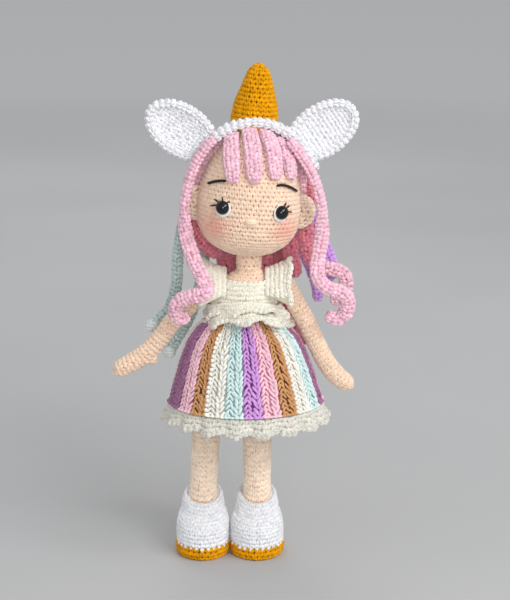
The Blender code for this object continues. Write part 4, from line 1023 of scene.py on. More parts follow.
def arm_rows(word):
    """The arm's route in doll space, with its radius, from the shoulder to the hand."""
    side, reach, fall, shares = ARMS[word]
    pivot = np.array((NECK_X + side * SHOULDER[0], 0, SHOULDER[1]))
    table = np.array(shares)
    radii = np.interp(np.linspace(0, 1, len(table)), np.linspace(0, 1, len(ARM_RADIUS_SHARES)),
                      ARM_RADIUS_SHARES)
    key = np.stack([
        pivot[0] + side * table[:, 0] * reach, np.zeros(len(table)), pivot[2] - table[:, 1] * fall,
        ARM_RADIUS * radii,
    ], axis=1)
    return even(smooth(key, 8), 1.5)


def arm_surface(word):
    route = arm_rows(word)
    start = unit(route[1, :3] - route[0, :3])
    end = unit(route[-1, :3] - route[-2, :3])
    rows = []
    for angle in (12, 30, 50, 70):
        turn = math.radians(angle)
        rows.append((*(route[0, :3] - start * ARM_RADIUS * math.cos(turn)), ARM_RADIUS * math.sin(turn)))
    rows.extend(route.tolist())
    tip = route[-1, 3]
    for angle in (72, 52, 32, 12):
        turn = math.radians(angle)
        rows.append((*(route[-1, :3] + end * tip * math.cos(turn)), tip * math.sin(turn)))
    rows = np.array(rows)
    centres = rows[:, :3]
    ahead = unit(np.gradient(centres, axis=0))
    back = np.array((0, 1.0, 0))
    across = np.cross(back, ahead)
    angle = TAU * np.arange(48) / 48
    grid = centres[:, None] + rows[:, 3][:, None, None] * (
        across[:, None] * np.sin(angle)[None, :, None] + back * np.cos(angle)[None, :, None]
    )
    return Surface(grid)


def thumb_surface(word):
    """The small round thumb on the side of the hand."""
    route = arm_rows(word)[:, :3]
    index = round(THUMB_SHARE * (len(route) - 1))
    forward = unit(route[index + 1] - route[index - 1])
    aside = np.array((0, 0, -1.0)) if word == "right" else np.array((0, 1.0, 0))
    aside = unit(aside - forward * (aside @ forward))
    centre = route[index] + aside * THUMB_REACH
    points = node_points(f"{word}_arm")
    points = points[np.linalg.norm(points - centre, axis=1) < 2 * THUMB_RADIUS]
    reach = points @ aside
    centre = points[reach > reach.max() - 0.3].mean(axis=0) - aside * THUMB_RADIUS
    place = Matrix.Translation(Vector(centre)) @ Vector(aside).to_track_quat("Z", "Y").to_matrix().to_4x4()
    return small_egg(place, (THUMB_RADIUS, THUMB_RADIUS, THUMB_RADIUS), low=1.1)


def ankle_x(side):
    return ANKLE_CENTRE + side * ANKLE_APART


def foot_row(row, side, grow):
    rise, width, length, forward, slope = row
    height = FOOT_BOTTOM + rise * (SHOE_RIM - FOOT_BOTTOM)
    half_width = LEG_RADIUS + width * (FOOT_HALF[0] - LEG_RADIUS) + grow
    half_length = LEG_RADIUS + length * (FOOT_HALF[1] - LEG_RADIUS) + grow
    return (ankle_x(side), -forward * FOOT_FORWARD, height, half_width, half_length, slope * RIM_SLOPE)


def leg_surface(side):
    rows = [foot_row(row, side, 0) for row in FOOT_SHARES[3:]]
    hip_x = HIP_CENTRE_X + side * HIP_SPREAD
    for share in (0.25, 0.5, 0.75, 1):
        height = SHOE_RIM + (HIP_HEIGHT - SHOE_RIM) * share
        slope = RIM_SLOPE * max(1 - 2 * share, 0)
        rows.append((ankle_x(side) + (hip_x - ankle_x(side)) * share, 0, height,
                     LEG_RADIUS, LEG_RADIUS, slope))
    for angle in (30, 55, 78):
        turn = math.radians(angle)
        rows.append((hip_x, 0, HIP_HEIGHT + LEG_RADIUS * math.sin(turn),
                     LEG_RADIUS * math.cos(turn), LEG_RADIUS * math.cos(turn), 0))
    return Surface(ovals(smooth(rows, 6), 48))


def slouched(points):
    """The upper's cuff sits a little lower than the solid's, as worn crochet does."""
    high = np.maximum(points[..., 2] - CUFF_FROM, 0)
    low = points.copy()
    low[..., 2] -= high * CUFF_SLOUCH
    return low


def boot_surface(side):
    """The upper's outside, from the sole up over the cuff's rim."""
    grow = GAP + SHOE_WALL
    rows = [foot_row((0.0, *FOOT_SHARES[2][1:]), side, grow)]
    rows += [foot_row(row, side, grow) for row in FOOT_SHARES[2:]]
    rows[0] = (*rows[0][:2], SOLE_TOP + GAP, *rows[0][3:])
    rows = smooth(rows, 8)
    share = np.linspace(0, 1, len(rows))
    fold = np.exp(-((share - 0.70) / 0.035) ** 2)
    rows[:, 3] -= 0.7 * fold
    rows[:, 4] -= 0.7 * fold
    cuff = np.clip((share - 0.74) / 0.06, 0, 1)
    rows[:, 3] += 0.5 * cuff
    rows[:, 4] += 0.5 * cuff
    rim = list(rows)
    last = rows[-1]
    for drop, pull in ((-0.7, 0.7), (-0.7, 1.7), (0.6, 2.2), (3.0, 2.2)):
        rim.append((last[0], last[1], last[2] - drop, last[3] - pull, last[4] - pull, last[5]))
    return Surface(slouched(ovals(rim, 72)))


def sole_surface(side):
    rows = [(0.15, 0.80), (0.06, 0.90), (0.16, 0.965), (0.45, 0.985), (0.8, 0.99), (1.0, 0.97),
            (1.05, 0.90)]
    return Surface(ovals(smooth([
        (ankle_x(side), -FOOT_FORWARD, rise * SOLE_TOP, outline * SOLE_HALF[0], outline * SOLE_HALF[1], 0)
        for rise, outline in rows
    ], 4), 72))


def skirt_section(share, flare):
    height = WAIST + (HEM - WAIST) * share
    centre, half_width, half_depth = torso_section(WAIST)
    centre += (HEM_CENTRE_X - centre) * flare
    half_width += SKIRT_SEAT + (SKIRT_HALF[0] - half_width - SKIRT_SEAT) * flare
    half_depth += SKIRT_SEAT + (SKIRT_HALF[1] - half_depth - SKIRT_SEAT) * flare
    return centre, 0, height, half_width, half_depth, 0


def skirt_surface():
    return Surface(ovals(smooth([skirt_section(*row) for row in SKIRT_SHARES], 8), 150))


def bodice_surface():
    rows = []
    for height in np.linspace(BODICE_FOOT, BODICE_TOP, 14):
        centre, half_width, half_depth = torso_section(height)
        rows.append((centre, 0, height, half_width + BODICE_STAND, half_depth + BODICE_STAND, 0))
    return Surface(ovals(rows))


def frill_surface(top, section, drop, side_flare, front_flare, waves, wave, dip, ripple=0, phase=0.0,
                  front_lift=0.0, aside_shift=0.0, heave=0.0, columns=240, rows=10):
    """A wavy band that hangs from its top edge and flares out; dip moves its lower edge."""
    centre, half_width, half_depth = section
    angle = TAU * np.arange(columns) / columns + math.pi / 2
    lift = front_lift * np.maximum(-np.sin(angle), 0) ** 2
    heap = heave * np.exp(-((angle - HEAVE_TURN) / 0.34) ** 2)
    grid = []
    for share in np.linspace(0, 1, rows):
        grown = share ** 1.1
        fold = np.sin(waves * angle + phase)
        out = wave * grown * fold + ripple * grown * np.sin(waves * 2 * angle + 1.7 * phase)
        aside = wave * FOLD_LEAN * grown * np.sin(2 * (waves * angle + phase)) / (half_width + side_flare)
        fall = drop * share + dip * grown * np.sin(waves * angle + phase + 1.1)
        turned = angle + aside
        grid.append(np.stack([
            centre + aside_shift * share + (half_width + side_flare * share + out) * np.cos(turned),
            (half_depth + front_flare * share + out) * np.sin(turned),
            top - fall + lift + heap * grown,
        ], axis=1))
    return Surface(grid)


def shoulder_frill_surface(side):
    """A ruffle that stands over the shoulder from the chest to the back."""
    foot = NECK_ROOT - SHOULDER_FRILL_DROP
    centre = torso_section(foot)[0]
    grid = []
    for share in np.linspace(0, 1, 10):
        row = []
        for step in np.linspace(0, 1, 91):
            turn = math.pi * step
            ruffle = RUFFLE * math.sin(TAU * RUFFLES * step + 0.6) * share ** 1.3
            depth = between(SHOULDER_FRILL_DEPTHS, share) + 0.7 * ruffle
            rise = between(SHOULDER_FRILL_RISES, share) + 0.5 * ruffle
            fall = SHOULDER_FRILL_FALL * share * math.cos(turn) ** 4
            row.append((
                centre + side * (between(SHOULDER_FRILL_SIDES, share ** 0.85) + 0.5 * ruffle),
                -math.cos(turn) * depth, foot - fall + math.sin(turn) * rise,
            ))
        grid.append(row)
    grid = np.array(grid)
    outward = grid - np.array((centre, 0, foot - 8))
    return Surface(grid, closed=False, outward=outward)


def lock_surface(name):
    _, half_width, facing, table = LOCKS[name]
    breadth = BACK_LOCK_BREADTH if name.startswith("back") else FRONT_LOCK_BREADTH
    return route_surface(table, facing, half_width, breadth)


def route_surface(table, facing, half_width, breadth):
    """The skin of a strand along a route that is given in shares of the head and the hair."""
    rows = smooth(table, 8)
    drop = np.where(rows[:, 2] > 0, HEAD_CROWN + LOCK_LIFT, HAIR_DROP)
    points = HEAD_CENTRE + np.stack([
        rows[:, 0] * (HEAD_HALF[0] + LOCK_SIDE_LIFT), rows[:, 1] * (HEAD_HALF[1] + LOCK_LIFT),
        rows[:, 2] * drop,
    ], axis=1)
    outward = unit(np.stack([rows[:, 0], rows[:, 1], np.maximum(rows[:, 2], 0)], axis=1))
    turned = np.clip(-rows[:, 2] / 0.15, 0, 1)[:, None]
    normals = unit(outward * (1 - turned) + np.array((0, facing, 0)) * turned)
    route = even(np.concatenate([points, normals], axis=1), LOCK_STEP)
    count = len(route)
    along = np.linspace(0, 1, count)
    length = LOCK_STEP * count
    shape = np.interp(along * length, (0, 2, 8, length - 6, length - 2.5, length - 0.8, length),
                      (0.55, 0.75, 0.97, 0.98, 0.90, 0.62, 0.30))
    thick = np.interp(along * length, (0, 3, length - 3, length - 0.8, length), (0.8, 1, 1, 0.75, 0.35))
    return strip_surface(route[:, :3], unit(route[:, 3:]), half_width * breadth * shape,
                         LOCK_HALF_THICKNESS * thick)


def bang_surface(top_share, bottom_share, rise_share):
    lift = GAP + BANG_THICKNESS / 2
    start = Vector((top_share, BANG_TOP_SHARE, math.sqrt(1 - top_share ** 2 - BANG_TOP_SHARE ** 2)))
    end = Vector((bottom_share, -math.sqrt(1 - bottom_share ** 2 - rise_share ** 2), rise_share))
    half = np.array((HEAD_HALF[0], HEAD_HALF[1], HEAD_CROWN))
    route = []
    for step in range(BANG_STEPS):
        share = np.array(start.slerp(end, step / (BANG_STEPS - 1)))
        normal = unit(share / half)
        route.append((*head_world(share * half + normal * lift), *(HEAD_TURN @ normal)))
    route = np.array(route)
    place = np.linspace(0, 1, BANG_STEPS)
    widths = np.interp(place, np.linspace(0, 1, len(BANG_WIDTH_SHARES)), BANG_WIDTH_SHARES)
    tip = np.clip(1 - ((place - BANG_TIP_SHARE) / 0.075) ** 2, 0.1, 1)
    widths = np.where(place > BANG_TIP_SHARE, widths * np.sqrt(tip), widths)
    thick = np.interp(place, (0, 0.1, 0.9, 1), (0.8, 1, 1.0, 0.5))
    return strip_surface(route[:, :3], route[:, 3:], BANG_HALF_WIDTH * widths * 0.97,
                         BANG_THICKNESS / 2 * 0.95 * thick)


def node_points(node):
    """A node's own vertices in doll space."""
    return np.array([vert.co / MM - Vector(SHIFT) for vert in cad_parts[node].data.vertices])


def node_tree(node):
    """The node's faces, ready to be met by rays, in doll space."""
    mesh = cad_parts[node].data
    mesh.calc_loop_triangles()
    points = [vert.co / MM - Vector(SHIFT) for vert in mesh.vertices]
    return BVHTree.FromPolygons(points, [tuple(face.vertices) for face in mesh.loop_triangles])


def cast_point(tree, turn, y):
    """The outermost point of a node at an angle round the head's Y axis."""
    direction = Vector((math.cos(turn), 0, math.sin(turn)))
    origin = Vector(HEAD_CENTRE) + Vector((0, y, 0)) + direction * 80
    return tree.ray_cast(origin, -direction)[0]


def cast_surface(node, angles, low, high, columns=20):
    """The outside of an arch round the Y axis, found on the node itself."""
    tree = node_tree(node)
    places = np.linspace(low, high, columns)
    grid = [[cast_point(tree, turn, y) for y in places] for turn in angles]
    outward = np.array([[(math.cos(turn), 0, math.sin(turn))] * columns for turn in angles])
    return Surface(np.array(grid, float), closed=False, outward=outward)


def placed(points, place):
    return points @ np.array(place.to_3x3()).T + np.array(place.translation)


def lathe(rows, columns, start=0.0):
    """Rings round the Z axis from rows of height and radius."""
    rows = np.asarray(rows, float)
    angle = TAU * np.arange(columns) / columns + start
    return np.stack([
        rows[:, 1:2] * np.cos(angle), rows[:, 1:2] * np.sin(angle),
        np.repeat(rows[:, 0:1], columns, axis=1),
    ], axis=2)


def egg(half_sizes, rows, columns, low, high, start=0.0):
    """The x, y and z grids of an egg, from its foot to its top."""
    angle = np.linspace(low, math.pi - high, rows)
    turn = TAU * np.arange(columns) / columns + start
    ring = np.sin(angle)[:, None]
    x = ring * np.cos(turn) * half_sizes[0]
    y = ring * np.sin(turn) * half_sizes[1]
    z = np.repeat((-np.cos(angle) * half_sizes[2])[:, None], columns, axis=1)
    return x, y, z


def horn_surface():
    place = Matrix.Translation(Vector(HEAD_CENTRE) + HORN_BASE) @ Matrix.Rotation(HORN_TILT, 4, "Y")
    rows = list(HORN_FOOT)
    rows += [(HORN_START + rise * HORN_LENGTH, radius * HORN_RADIUS) for rise, radius in HORN_SHARES]
    return Surface(placed(lathe(smooth(rows, 6), 64, math.pi / 2), place))


def white_ear_place(side):
    return (
        Matrix.Translation(Vector(HEAD_CENTRE) + Vector((1.5 + side * 35.1, 4.0, 38.4)))
        @ Matrix.Rotation(side * math.radians(56.0), 4, "Y")
    )


def white_ear_surface(side):
    """A flat oval ear whose front is dished between thick rims."""
    x, y, z = egg(WHITE_EAR_HALF, 60, 96, 0.05, 0.05, math.pi / 2)
    outward = np.stack([x * 0.2, np.where(y < 0, -1.0, 1.0), z * 0], axis=2)
    inside = np.clip(1 - (x / 8.6) ** 2 - ((z - 1.5) / 14.5) ** 2, 0, 1)
    y = np.where(y < 0, y * (1 - 0.85 * inside ** 0.6), y)
    place = white_ear_place(side)
    local = np.array(place.to_3x3())
    return Surface(placed(np.stack([x, y, z], axis=2), place), outward=outward @ local.T)


def skin_ear_surface(side):
    """A small round ear, its front dished inside a thick rim."""
    x, y, z = egg(SKIN_EAR_HALF, 40, 64, 0.08, 0.08, math.pi / 2)
    outward = np.stack([x * 0.3, np.where(y < 0, -1.0, 1.0), z * 0], axis=2)
    inside = np.clip(1 - ((x - side * 1.2) / 4.6) ** 2 - (z / 5.4) ** 2, 0, 1)
    y = np.where(y < 0, y + 2.6 * inside ** 0.7, y)
    grid = np.stack([x + side * HEAD_HALF[0], y + 2.0, z], axis=2)
    return Surface(head_world(grid), outward=outward @ HEAD_TURN.T)


def small_egg(place, half_sizes, rows=24, columns=32, low=0.05):
    grid = np.stack(egg(half_sizes, rows, columns, low, 0.05), axis=2)
    return Surface(placed(grid, place))


def facing(point, normal):
    turn = Vector(normal).to_track_quat("Z", "Y").to_matrix().to_4x4()
    return Matrix.Translation(Vector(point)) @ turn


# Pieces

SIDES = ((1, "left"), (-1, "right"))


def settle(piece, material, body, node):
    """Make the mesh, hang it on what it rides on and hide the node that it stands for."""
    thing = piece.make(material)
    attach(thing, body)
    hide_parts(node)


def skin_colour(u, number, centre):
    """Skin yarn with a blush on both cheeks."""
    dye, painted_shade = (np.repeat(linear(shade)[None], len(centre), axis=0) for shade in YARNS["skin"])
    local = head_local(centre)
    for across, rise in BLUSH:
        away = np.hypot(local[:, 0] - across, local[:, 2] - rise)
        share = 0.62 * np.exp(-(away / BLUSH_RADIUS) ** 2)[:, None] * (local[:, 1:2] < 0)
        dye = dye * (1 - share) + linear(BLUSH_COLOUR) * share
        painted_shade = painted_shade * (1 - share * 0.4) + linear(BLUSH_PAINTED_SHADE) * share * 0.4
    return dye, painted_shade


def behind_edge(points, back):
    """Whether points in doll space lie under the hair cap, whose front edge is moved back."""
    local = head_local(points)
    ahead, up = CAP_SLOPE
    return (local[:, 1] - back) * ahead + (local[:, 2] - HEAD_CROWN) * up > 0


def make_head(yarns):
    piece = Piece("head_crochet", 11)
    piece.ground("head", YARNS["skin"], press=SKIN_PRESS)
    eyes = [face_point(*place)[0] for place in EYES.values()]

    def keep(centre):
        clear = np.ones(len(centre), bool)
        for eye in eyes:
            clear &= np.linalg.norm(centre - eye, axis=1) > EYE_CLEAR
        from_neck = np.hypot(centre[:, 0] - NECK_X, centre[:, 1]) > NECK_RADIUS + NECK_CLEAR
        return ~behind_edge(centre, FACE_BACK) & clear & (from_neck | (centre[:, 2] > CHIN_HEIGHT))

    piece.knit("head", head_surface(0), YARNS["skin"], keep=keep, colour=skin_colour)
    settle(piece, yarns["fine"], "head", "head")


def make_nose(yarns):
    piece = Piece("nose_crochet", 12)
    piece.ground("nose", (YARNS["skin"][0],) * 2, press=0.5)
    point, normal = face_point(*NOSE, 0.45)
    across = HEAD_TURN @ np.array((1.0, 0, 0))
    up = np.cross(normal, across)
    for rise in (-0.6, 0.6):
        path = [
            point + across * share * 2.3 + up * (rise * (1 - share ** 2 * 0.8))
            + normal * (0.6 - 1.3 * share ** 2)
            for share in np.linspace(-1, 1, 9)
        ]
        piece.yarn_line(path, 0.8, YARNS["skin"])
    settle(piece, yarns["fine"], "head", "nose")


def outside_head(centre):
    local = head_local(centre) / (HEAD_HALF[0], HEAD_HALF[1], HEAD_CROWN)
    return (local ** 2).sum(axis=1) > BURIED_SHARE


def make_ears(yarns):
    for side, word in SIDES:
        piece = Piece(f"{word}_ear_crochet", 13 + side)
        surface = skin_ear_surface(side)
        piece.shell_tube(surface, YARNS["painted_lit_skin"], sink=0.8)
        piece.knit("skin_ear", surface, YARNS["painted_lit_skin"], keep=outside_head)
        settle(piece, yarns["fine"], "head", f"{word}_ear")


def make_button(name, rows, place, aside, material, node):
    """A turned part of an eye, closed at both ends."""
    grid = lathe(rows, EYE_COLUMNS)
    grid[:, :, 0] += aside[0]
    grid[:, :, 1] += aside[1]
    last = (len(rows) - 1) * EYE_COLUMNS
    around = [(index, (index + 1) % EYE_COLUMNS) for index in range(EYE_COLUMNS)]
    faces = [
        (low + index, low + beside, low + EYE_COLUMNS + beside, low + EYE_COLUMNS + index)
        for low in range(0, last, EYE_COLUMNS) for index, beside in around
    ]
    faces += [tuple(range(EYE_COLUMNS))[::-1], tuple(last + index for index, _ in around)]
    mesh = bpy.data.meshes.new(name)
    mesh.from_pydata([(place @ Vector(p) + Vector(SHIFT)) * MM for p in grid.reshape(-1, 3)], [], faces)
    mesh.validate()
    mesh.shade_smooth()
    thing = bpy.data.objects.new(name, mesh)
    bpy.context.scene.collection.objects.link(thing)
    mesh.materials.append(material)
    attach(thing, "head")
    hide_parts(node)


def make_eyes(gloss, white):
    for side, word in SIDES:
        place = facing(*face_point(*EYES[side]))
        make_button(f"{word}_eye_dome", EYE_DOME, place, (0.0, 0.0), gloss, f"{word}_eye")
        make_button(f"{word}_eye_felt", EYE_FELT, place, (side * EYE_FELT_ASIDE, -EYE_FELT_DROP), white,
                    f"{word}_eye_white")


def make_brows(yarns):
    for side, word in SIDES:
        piece = Piece(f"{word}_brow_thread", 20 + side)
        path = [face_point(*place, THREAD_LIFT)[0] for place in smooth(BROWS[word], 4)]
        piece.yarn_line(path, 0.72, YARNS["brown"], ends=0.5)
        settle(piece, yarns["thread"], "head", f"{word}_brow")
        piece = Piece(f"{word}_lashes_thread", 24 + side)
        for start, end in LASHES[word]:
            path = []
            for share in np.linspace(0, 1, 5):
                across = between((start[0], end[0]), share)
                rise = between((start[1], end[1]), share)
                path.append(face_point(across, rise, THREAD_LIFT + 0.5 * share)[0])
            piece.yarn_line(path, 0.42, YARNS["brown"], sides=6, ends=0.55)
        settle(piece, yarns["thread"], "head", f"{word}_lashes")


def torso_shown(centre):
    """The parts of the torso that the bodice and the arms leave free."""
    z = centre[:, 2]
    centres = np.interp(z, (TORSO_BOTTOM, NECK_ROOT), (HIP_CENTRE_X, NECK_X))
    armhole = (np.abs(centre[:, 0] - centres) > ARMHOLE_IN) & (z > ARMHOLE_FOOT)
    shown = (z > BODICE_HIDES[1]) | (z < BODICE_HIDES[0])
    return shown & ~armhole & (z < NECK_ROOT + NECK_SHOWN + NECK_UNDER_HEAD)


def make_torso(yarns):
    piece = Piece("torso_crochet", 30)
    piece.ground("torso", YARNS["skin"], press=SKIN_PRESS)
    piece.knit("torso", torso_surface(), YARNS["skin"], keep=torso_shown)
    settle(piece, yarns["fine"], "torso", "torso")


def make_arms(yarns):
    for side, word in SIDES:
        piece = Piece(f"{word}_arm_crochet", 40 + side)
        piece.ground(f"{word}_arm", YARNS["skin"], press=SKIN_PRESS)
        surface = arm_surface(word)
        piece.knit("arm", surface, YARNS["skin"])
        thumb = thumb_surface(word)
        piece.knit("thumb", thumb, YARNS["skin"])
        close_tip(piece, thumb, 0.95, YARNS["skin"])
        close_tip(piece, surface, 1.0, YARNS["skin"])
        settle(piece, yarns["fine"], f"{word}_arm", f"{word}_arm")


def make_legs(yarns):
    for side, word in SIDES:
        piece = Piece(f"{word}_leg_crochet", 50 + side)
        piece.ground(f"{word}_leg", YARNS["painted_lit_skin"], press=SKIN_PRESS)
        piece.knit("leg", leg_surface(side), YARNS["painted_lit_skin"])
        settle(piece, yarns["fine"], f"{word}_leg", f"{word}_leg")


def chevron(width, height, radius, rise, sign=1):
    """Two thin yarn legs that fall away from a ridge, over two deeper ones."""
    legs = []
    for drop, deep, size in ((0.0, 0.0, 1.0), (0.42, 0.62, 0.85)):
        path = np.array([
            (-0.02 * width, (0.62 - drop) * height, 0.10), (-0.16 * width, (0.24 - drop) * height, 0.42),
            (-0.31 * width, (-0.22 - drop) * height, 0.25), (-0.44 * width, (-0.70 - drop) * height, -0.45),
        ])
        path = path * (1, sign, 1) + (0, 0, rise - deep)
        radii = np.array((0.75, 1.0, 1.0, 0.7)) * radius * size
        legs.append(tube(path, radii, sides=4 if deep else 6, flat=0.9))
    return scaled(join(legs + [mirrored(leg) for leg in legs]), width, height)


def spike(width, height, radius):
    """One tooth of the zigzag where white yarn meets the sole."""
    path = ((0, height * 0.55, -0.3), (0, height * 0.2, 0.1), (0, -height * 0.2, 0.0),
            (0, -height * 0.5, -0.35))
    radii = (radius, radius, radius * 0.62, radius * 0.2)
    return scaled(tube(path, radii, sides=8, flat=0.6), width, height)


def make_boots(yarns):
    for side, word in SIDES:
        piece = Piece(f"{word}_boot_crochet", 60 + side)
        piece.ground(f"{word}_boot", YARNS["white"], press=0.15, reshape=slouched)
        piece.knit("boot", boot_surface(side), YARNS["white"])
        low = sole_surface(side)
        piece.stitches(low, spike(3.3, 2.6, 1.25), 2.6, 3.3, YARNS["white"], columns=27, lean=0.0,
                       start=low.length - 3.1, short=0.5)
        settle(piece, yarns["thick"], f"{word}_leg", f"{word}_boot")
        piece = Piece(f"{word}_sole_crochet", 64 + side)
        piece.ground(f"{word}_sole", YARNS["mustard"], press=0.3)
        piece.knit("sole", low, YARNS["mustard"])
        settle(piece, yarns["mustard"], f"{word}_leg", f"{word}_sole")


def cap_keep(centre):
    return behind_edge(centre, -CAP_BACK)


def cap_rim():
    """The front edge of the hair cap, from one side over the crown to the other."""
    grow = GAP + CAP_RIM_OUT
    rise = np.sin(np.linspace(-0.62, 0.5 * math.pi, 80))
    z = rise * np.where(rise > 0, HEAD_CROWN + grow, HEAD_CHIN + grow)
    y = -0.2 - (z - HEAD_CROWN) * CAP_SLOPE[1] / CAP_SLOPE[0]
    inside = chin_ring(rise) ** 2 - (y / (HEAD_HALF[1] + grow)) ** 2
    x = (HEAD_HALF[0] + grow + HAIR_SIDES * 0.6) * np.sqrt(np.clip(inside, 0, 1))
    x, y, z = (part[inside > 0] for part in (x, y, z))
    half = np.stack([x, y, z], axis=1)
    route = head_world(np.concatenate([half, (half * (-1, 1, 1))[::-1]]))
    return route, np.tile(HEAD_TURN @ np.array((0, -1.0, 0)), (len(route), 1))


def make_cap(yarns):
    piece = Piece("hair_cap_crochet", 70)
    piece.ground("hair_cap", YARNS["pink"], press=0.6)
    surface = head_surface(GAP + CAP_OUT, widen=HAIR_SIDES)
    piece.knit("cap", surface, YARNS["pink"], keep=cap_keep)
    scallops(piece, *cap_rim(), YARNS["pink"], 2.8, 2.1, 1.3, swell=0.1)
    settle(piece, yarns["marl"], "head", "hair_cap")


def make_fringe(yarns):
    for number, shares in enumerate(BANG_SHARES, start=1):
        piece = Piece(f"fringe_strand_{number}_crochet", 80 + number)
        surface = bang_surface(*shares)
        piece.shell_tube(surface, YARNS["pink"], sink=0.5)
        piece.knit("fringe", surface, YARNS["pink"])
        settle(piece, yarns["marl"], "head", f"fringe_strand_{number}")


def strand(piece, surface, ground, yarn, colour=None):
    """The ground and the four columns of stitches of a hanging strand."""
    piece.shell_tube(surface, ground)
    width = surface.girths.max() / 4
    item = v_stitch(width, 2.4, width * 0.27, rise=-0.05, ridge=True, flat=0.8)
    piece.stitches(surface, item, 2.2, width, yarn, columns=4, lean=0.0, colour=colour, wobble=0.08)


def make_nape(yarns):
    """Short strands of pink painted darker, painted shade, that fill the hair behind the neck."""
    for number, (name, table) in enumerate(NAPE_LOCKS.items()):
        piece = Piece(name, 104 + number)
        strand(piece, route_surface(table, 1, 4.3, 1.0), YARNS["pink_in_painted_shade"], YARNS["pink_in_painted_shade"])
        thing = piece.make(yarns["marl"])
        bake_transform(thing)


def shaded_pink(u, number, centre):
    """Pink painted darker under the head, painted shade, that turns to plain pink at the curled end."""
    share = np.clip((CURL_FROM - centre[:, 0]) / 3.0, 0, 1)[:, None]
    tints = []
    for pale, deep in zip(YARNS["pink"], YARNS["pink_in_painted_shade"]):
        tints.append(linear(pale) * (1 - share) + linear(deep) * share)
    return tints


def close_tip(piece, surface, radius, yarn):
    """The last stitches of a round, drawn together over the tip."""
    ring = surface.points[-1]
    tip = ring.mean(axis=0)
    away = unit(tip - surface.points[-6].mean(axis=0))
    across = unit(ring[0] - tip)
    aside = np.cross(away, across)
    for turn in (20, 80, 140):
        angle = math.radians(turn)
        direction = across * math.cos(angle) + aside * math.sin(angle)
        path = [tip + (direction * share * 1.9 + away * (0.2 - 0.9 * share ** 2)) * radius
                for share in (-1, -0.5, 0, 0.5, 1)]
        piece.yarn_line(path, radius * 0.85, yarn)


def bobble(piece, place, radius, yarn):
    """The round knot at the end of a mint strand."""
    surface = small_egg(Matrix.Translation(Vector(place)), (radius, radius, radius))
    piece.shell_tube(surface, yarn, sink=0.5)
    piece.knit("knot", surface, yarn)


def make_locks(yarns):
    for number, (name, (yarn, _, _, _)) in enumerate(LOCKS.items()):
        piece = Piece(f"{name}_crochet", 90 + number)
        surface = lock_surface(name)
        shaded = name == "left_side_lock"
        strand(piece, surface, YARNS["pink_in_painted_shade" if shaded else yarn], YARNS[yarn],
               shaded_pink if shaded else None)
        if yarn == "mint":
            bobble(piece, surface.points[-2].mean(axis=0), 3.1, YARNS["knot"])
        thing = piece.make(yarns["marl"] if "pink" in yarn else yarns["thick"])
        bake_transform(thing)
        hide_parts(name)


def arch_ends(node, lows):
    """First and last angle at which the arch is met from outside, at all of the places."""
    tree = node_tree(node)
    met = [turn for turn in np.radians(np.arange(10.0, 170.0, 0.25))
           if all(cast_point(tree, turn, y) is not None for y in lows)]
    return met[0], met[-1]


def rounded_ends(grid, reach):
    """Draw the rows near both ends of a strip in toward their middles."""
    grid = np.asarray(grid, float)
    middles = grid.mean(axis=1, keepdims=True)
    steps = np.linalg.norm(np.diff(middles[:, 0], axis=0), axis=1)
    along = np.concatenate([[0], np.cumsum(steps)])
    away = np.clip(np.minimum(along, along[-1] - along) / reach, 0, 1)
    share = np.sqrt(1 - (1 - away) ** 2)
    return middles + (grid - middles) * np.maximum(share, 0.3)[:, None, None]


def band_surface():
    """The headband's skin: its outside, its front edge, its inside and its back edge."""
    angles = np.linspace(*arch_ends("headband", (BAND_FRONT, 4.0, BAND_BACK)), 100)
    outer = cast_surface("headband", angles, BAND_FRONT, BAND_BACK)
    under = outer.points - outer.normals * BAND_THICKNESS
    loops = rounded_ends(np.concatenate([outer.points, under[:, ::-1]], axis=1), BAND_END)
    outer.points = rounded_ends(outer.points, BAND_END)
    grid = []
    for loop in loops:
        loop = np.concatenate([loop, loop[:1]])
        steps = np.concatenate([[0], np.cumsum(np.linalg.norm(np.diff(loop, axis=0), axis=1))])
        place = np.linspace(0, steps[-1], 48, endpoint=False)
        grid.append(np.stack([np.interp(place, steps, column) for column in loop.T], axis=1))
    return Surface(grid), outer


def scallops(piece, route, normals, yarn, pitch, half_width, half_thickness, swell=0.25):
    """A chain of round stitches along an edge, each a little lump."""
    route = np.asarray(route, float)
    both = even(np.concatenate([route, normals], axis=1), SCALLOP_STEP)
    along = np.arange(len(both)) * SCALLOP_STEP
    lump = 1 - swell + 2 * swell * np.abs(np.sin(math.pi * along / pitch))
    ends = np.clip(np.minimum(along, along[::-1]) / 1.2, 0.3, 1)
    surface = strip_surface(both[:, :3], unit(both[:, 3:]), half_width * lump * ends,
                            half_thickness * lump * ends)
    piece.shell_tube(surface, (yarn[0], yarn[0]), sink=0.4)
    width = surface.girths.max() / 4
    item = v_stitch(width, pitch, width * 0.27, rise=-0.15, ridge=True, sides=5)
    piece.stitches(surface, item, pitch, width, yarn, columns=4, lean=0.0, wobble=0.06)


def make_band(yarns):
    piece = Piece("headband_crochet", 110)
    surface, outer = band_surface()
    piece.shell_tube(surface, YARNS["white"], sink=0.5)
    piece.knit("band", surface, YARNS["white"])
    for column, across in ((0, -1.0), (-1, 1.0)):
        route = outer.points[:, column] - outer.normals[:, column] * 0.9 + np.array((0, across * 0.4, 0))
        facing_out = np.tile(np.array((0, across, 0.0)), (len(route), 1))
        scallops(piece, route, facing_out, YARNS["white"], 3.7, 2.1, 1.25)
    settle(piece, yarns["thick"], "headband", "headband")


def make_horn(yarns):
    piece = Piece("horn_crochet", 120)
    piece.ground("horn", YARNS["mustard"], press=0.6)
    surface = horn_surface()
    piece.knit("horn", surface, YARNS["mustard"])
    close_tip(piece, surface, 0.9, YARNS["mustard"])
    settle(piece, yarns["mustard"], "headband", "horn")


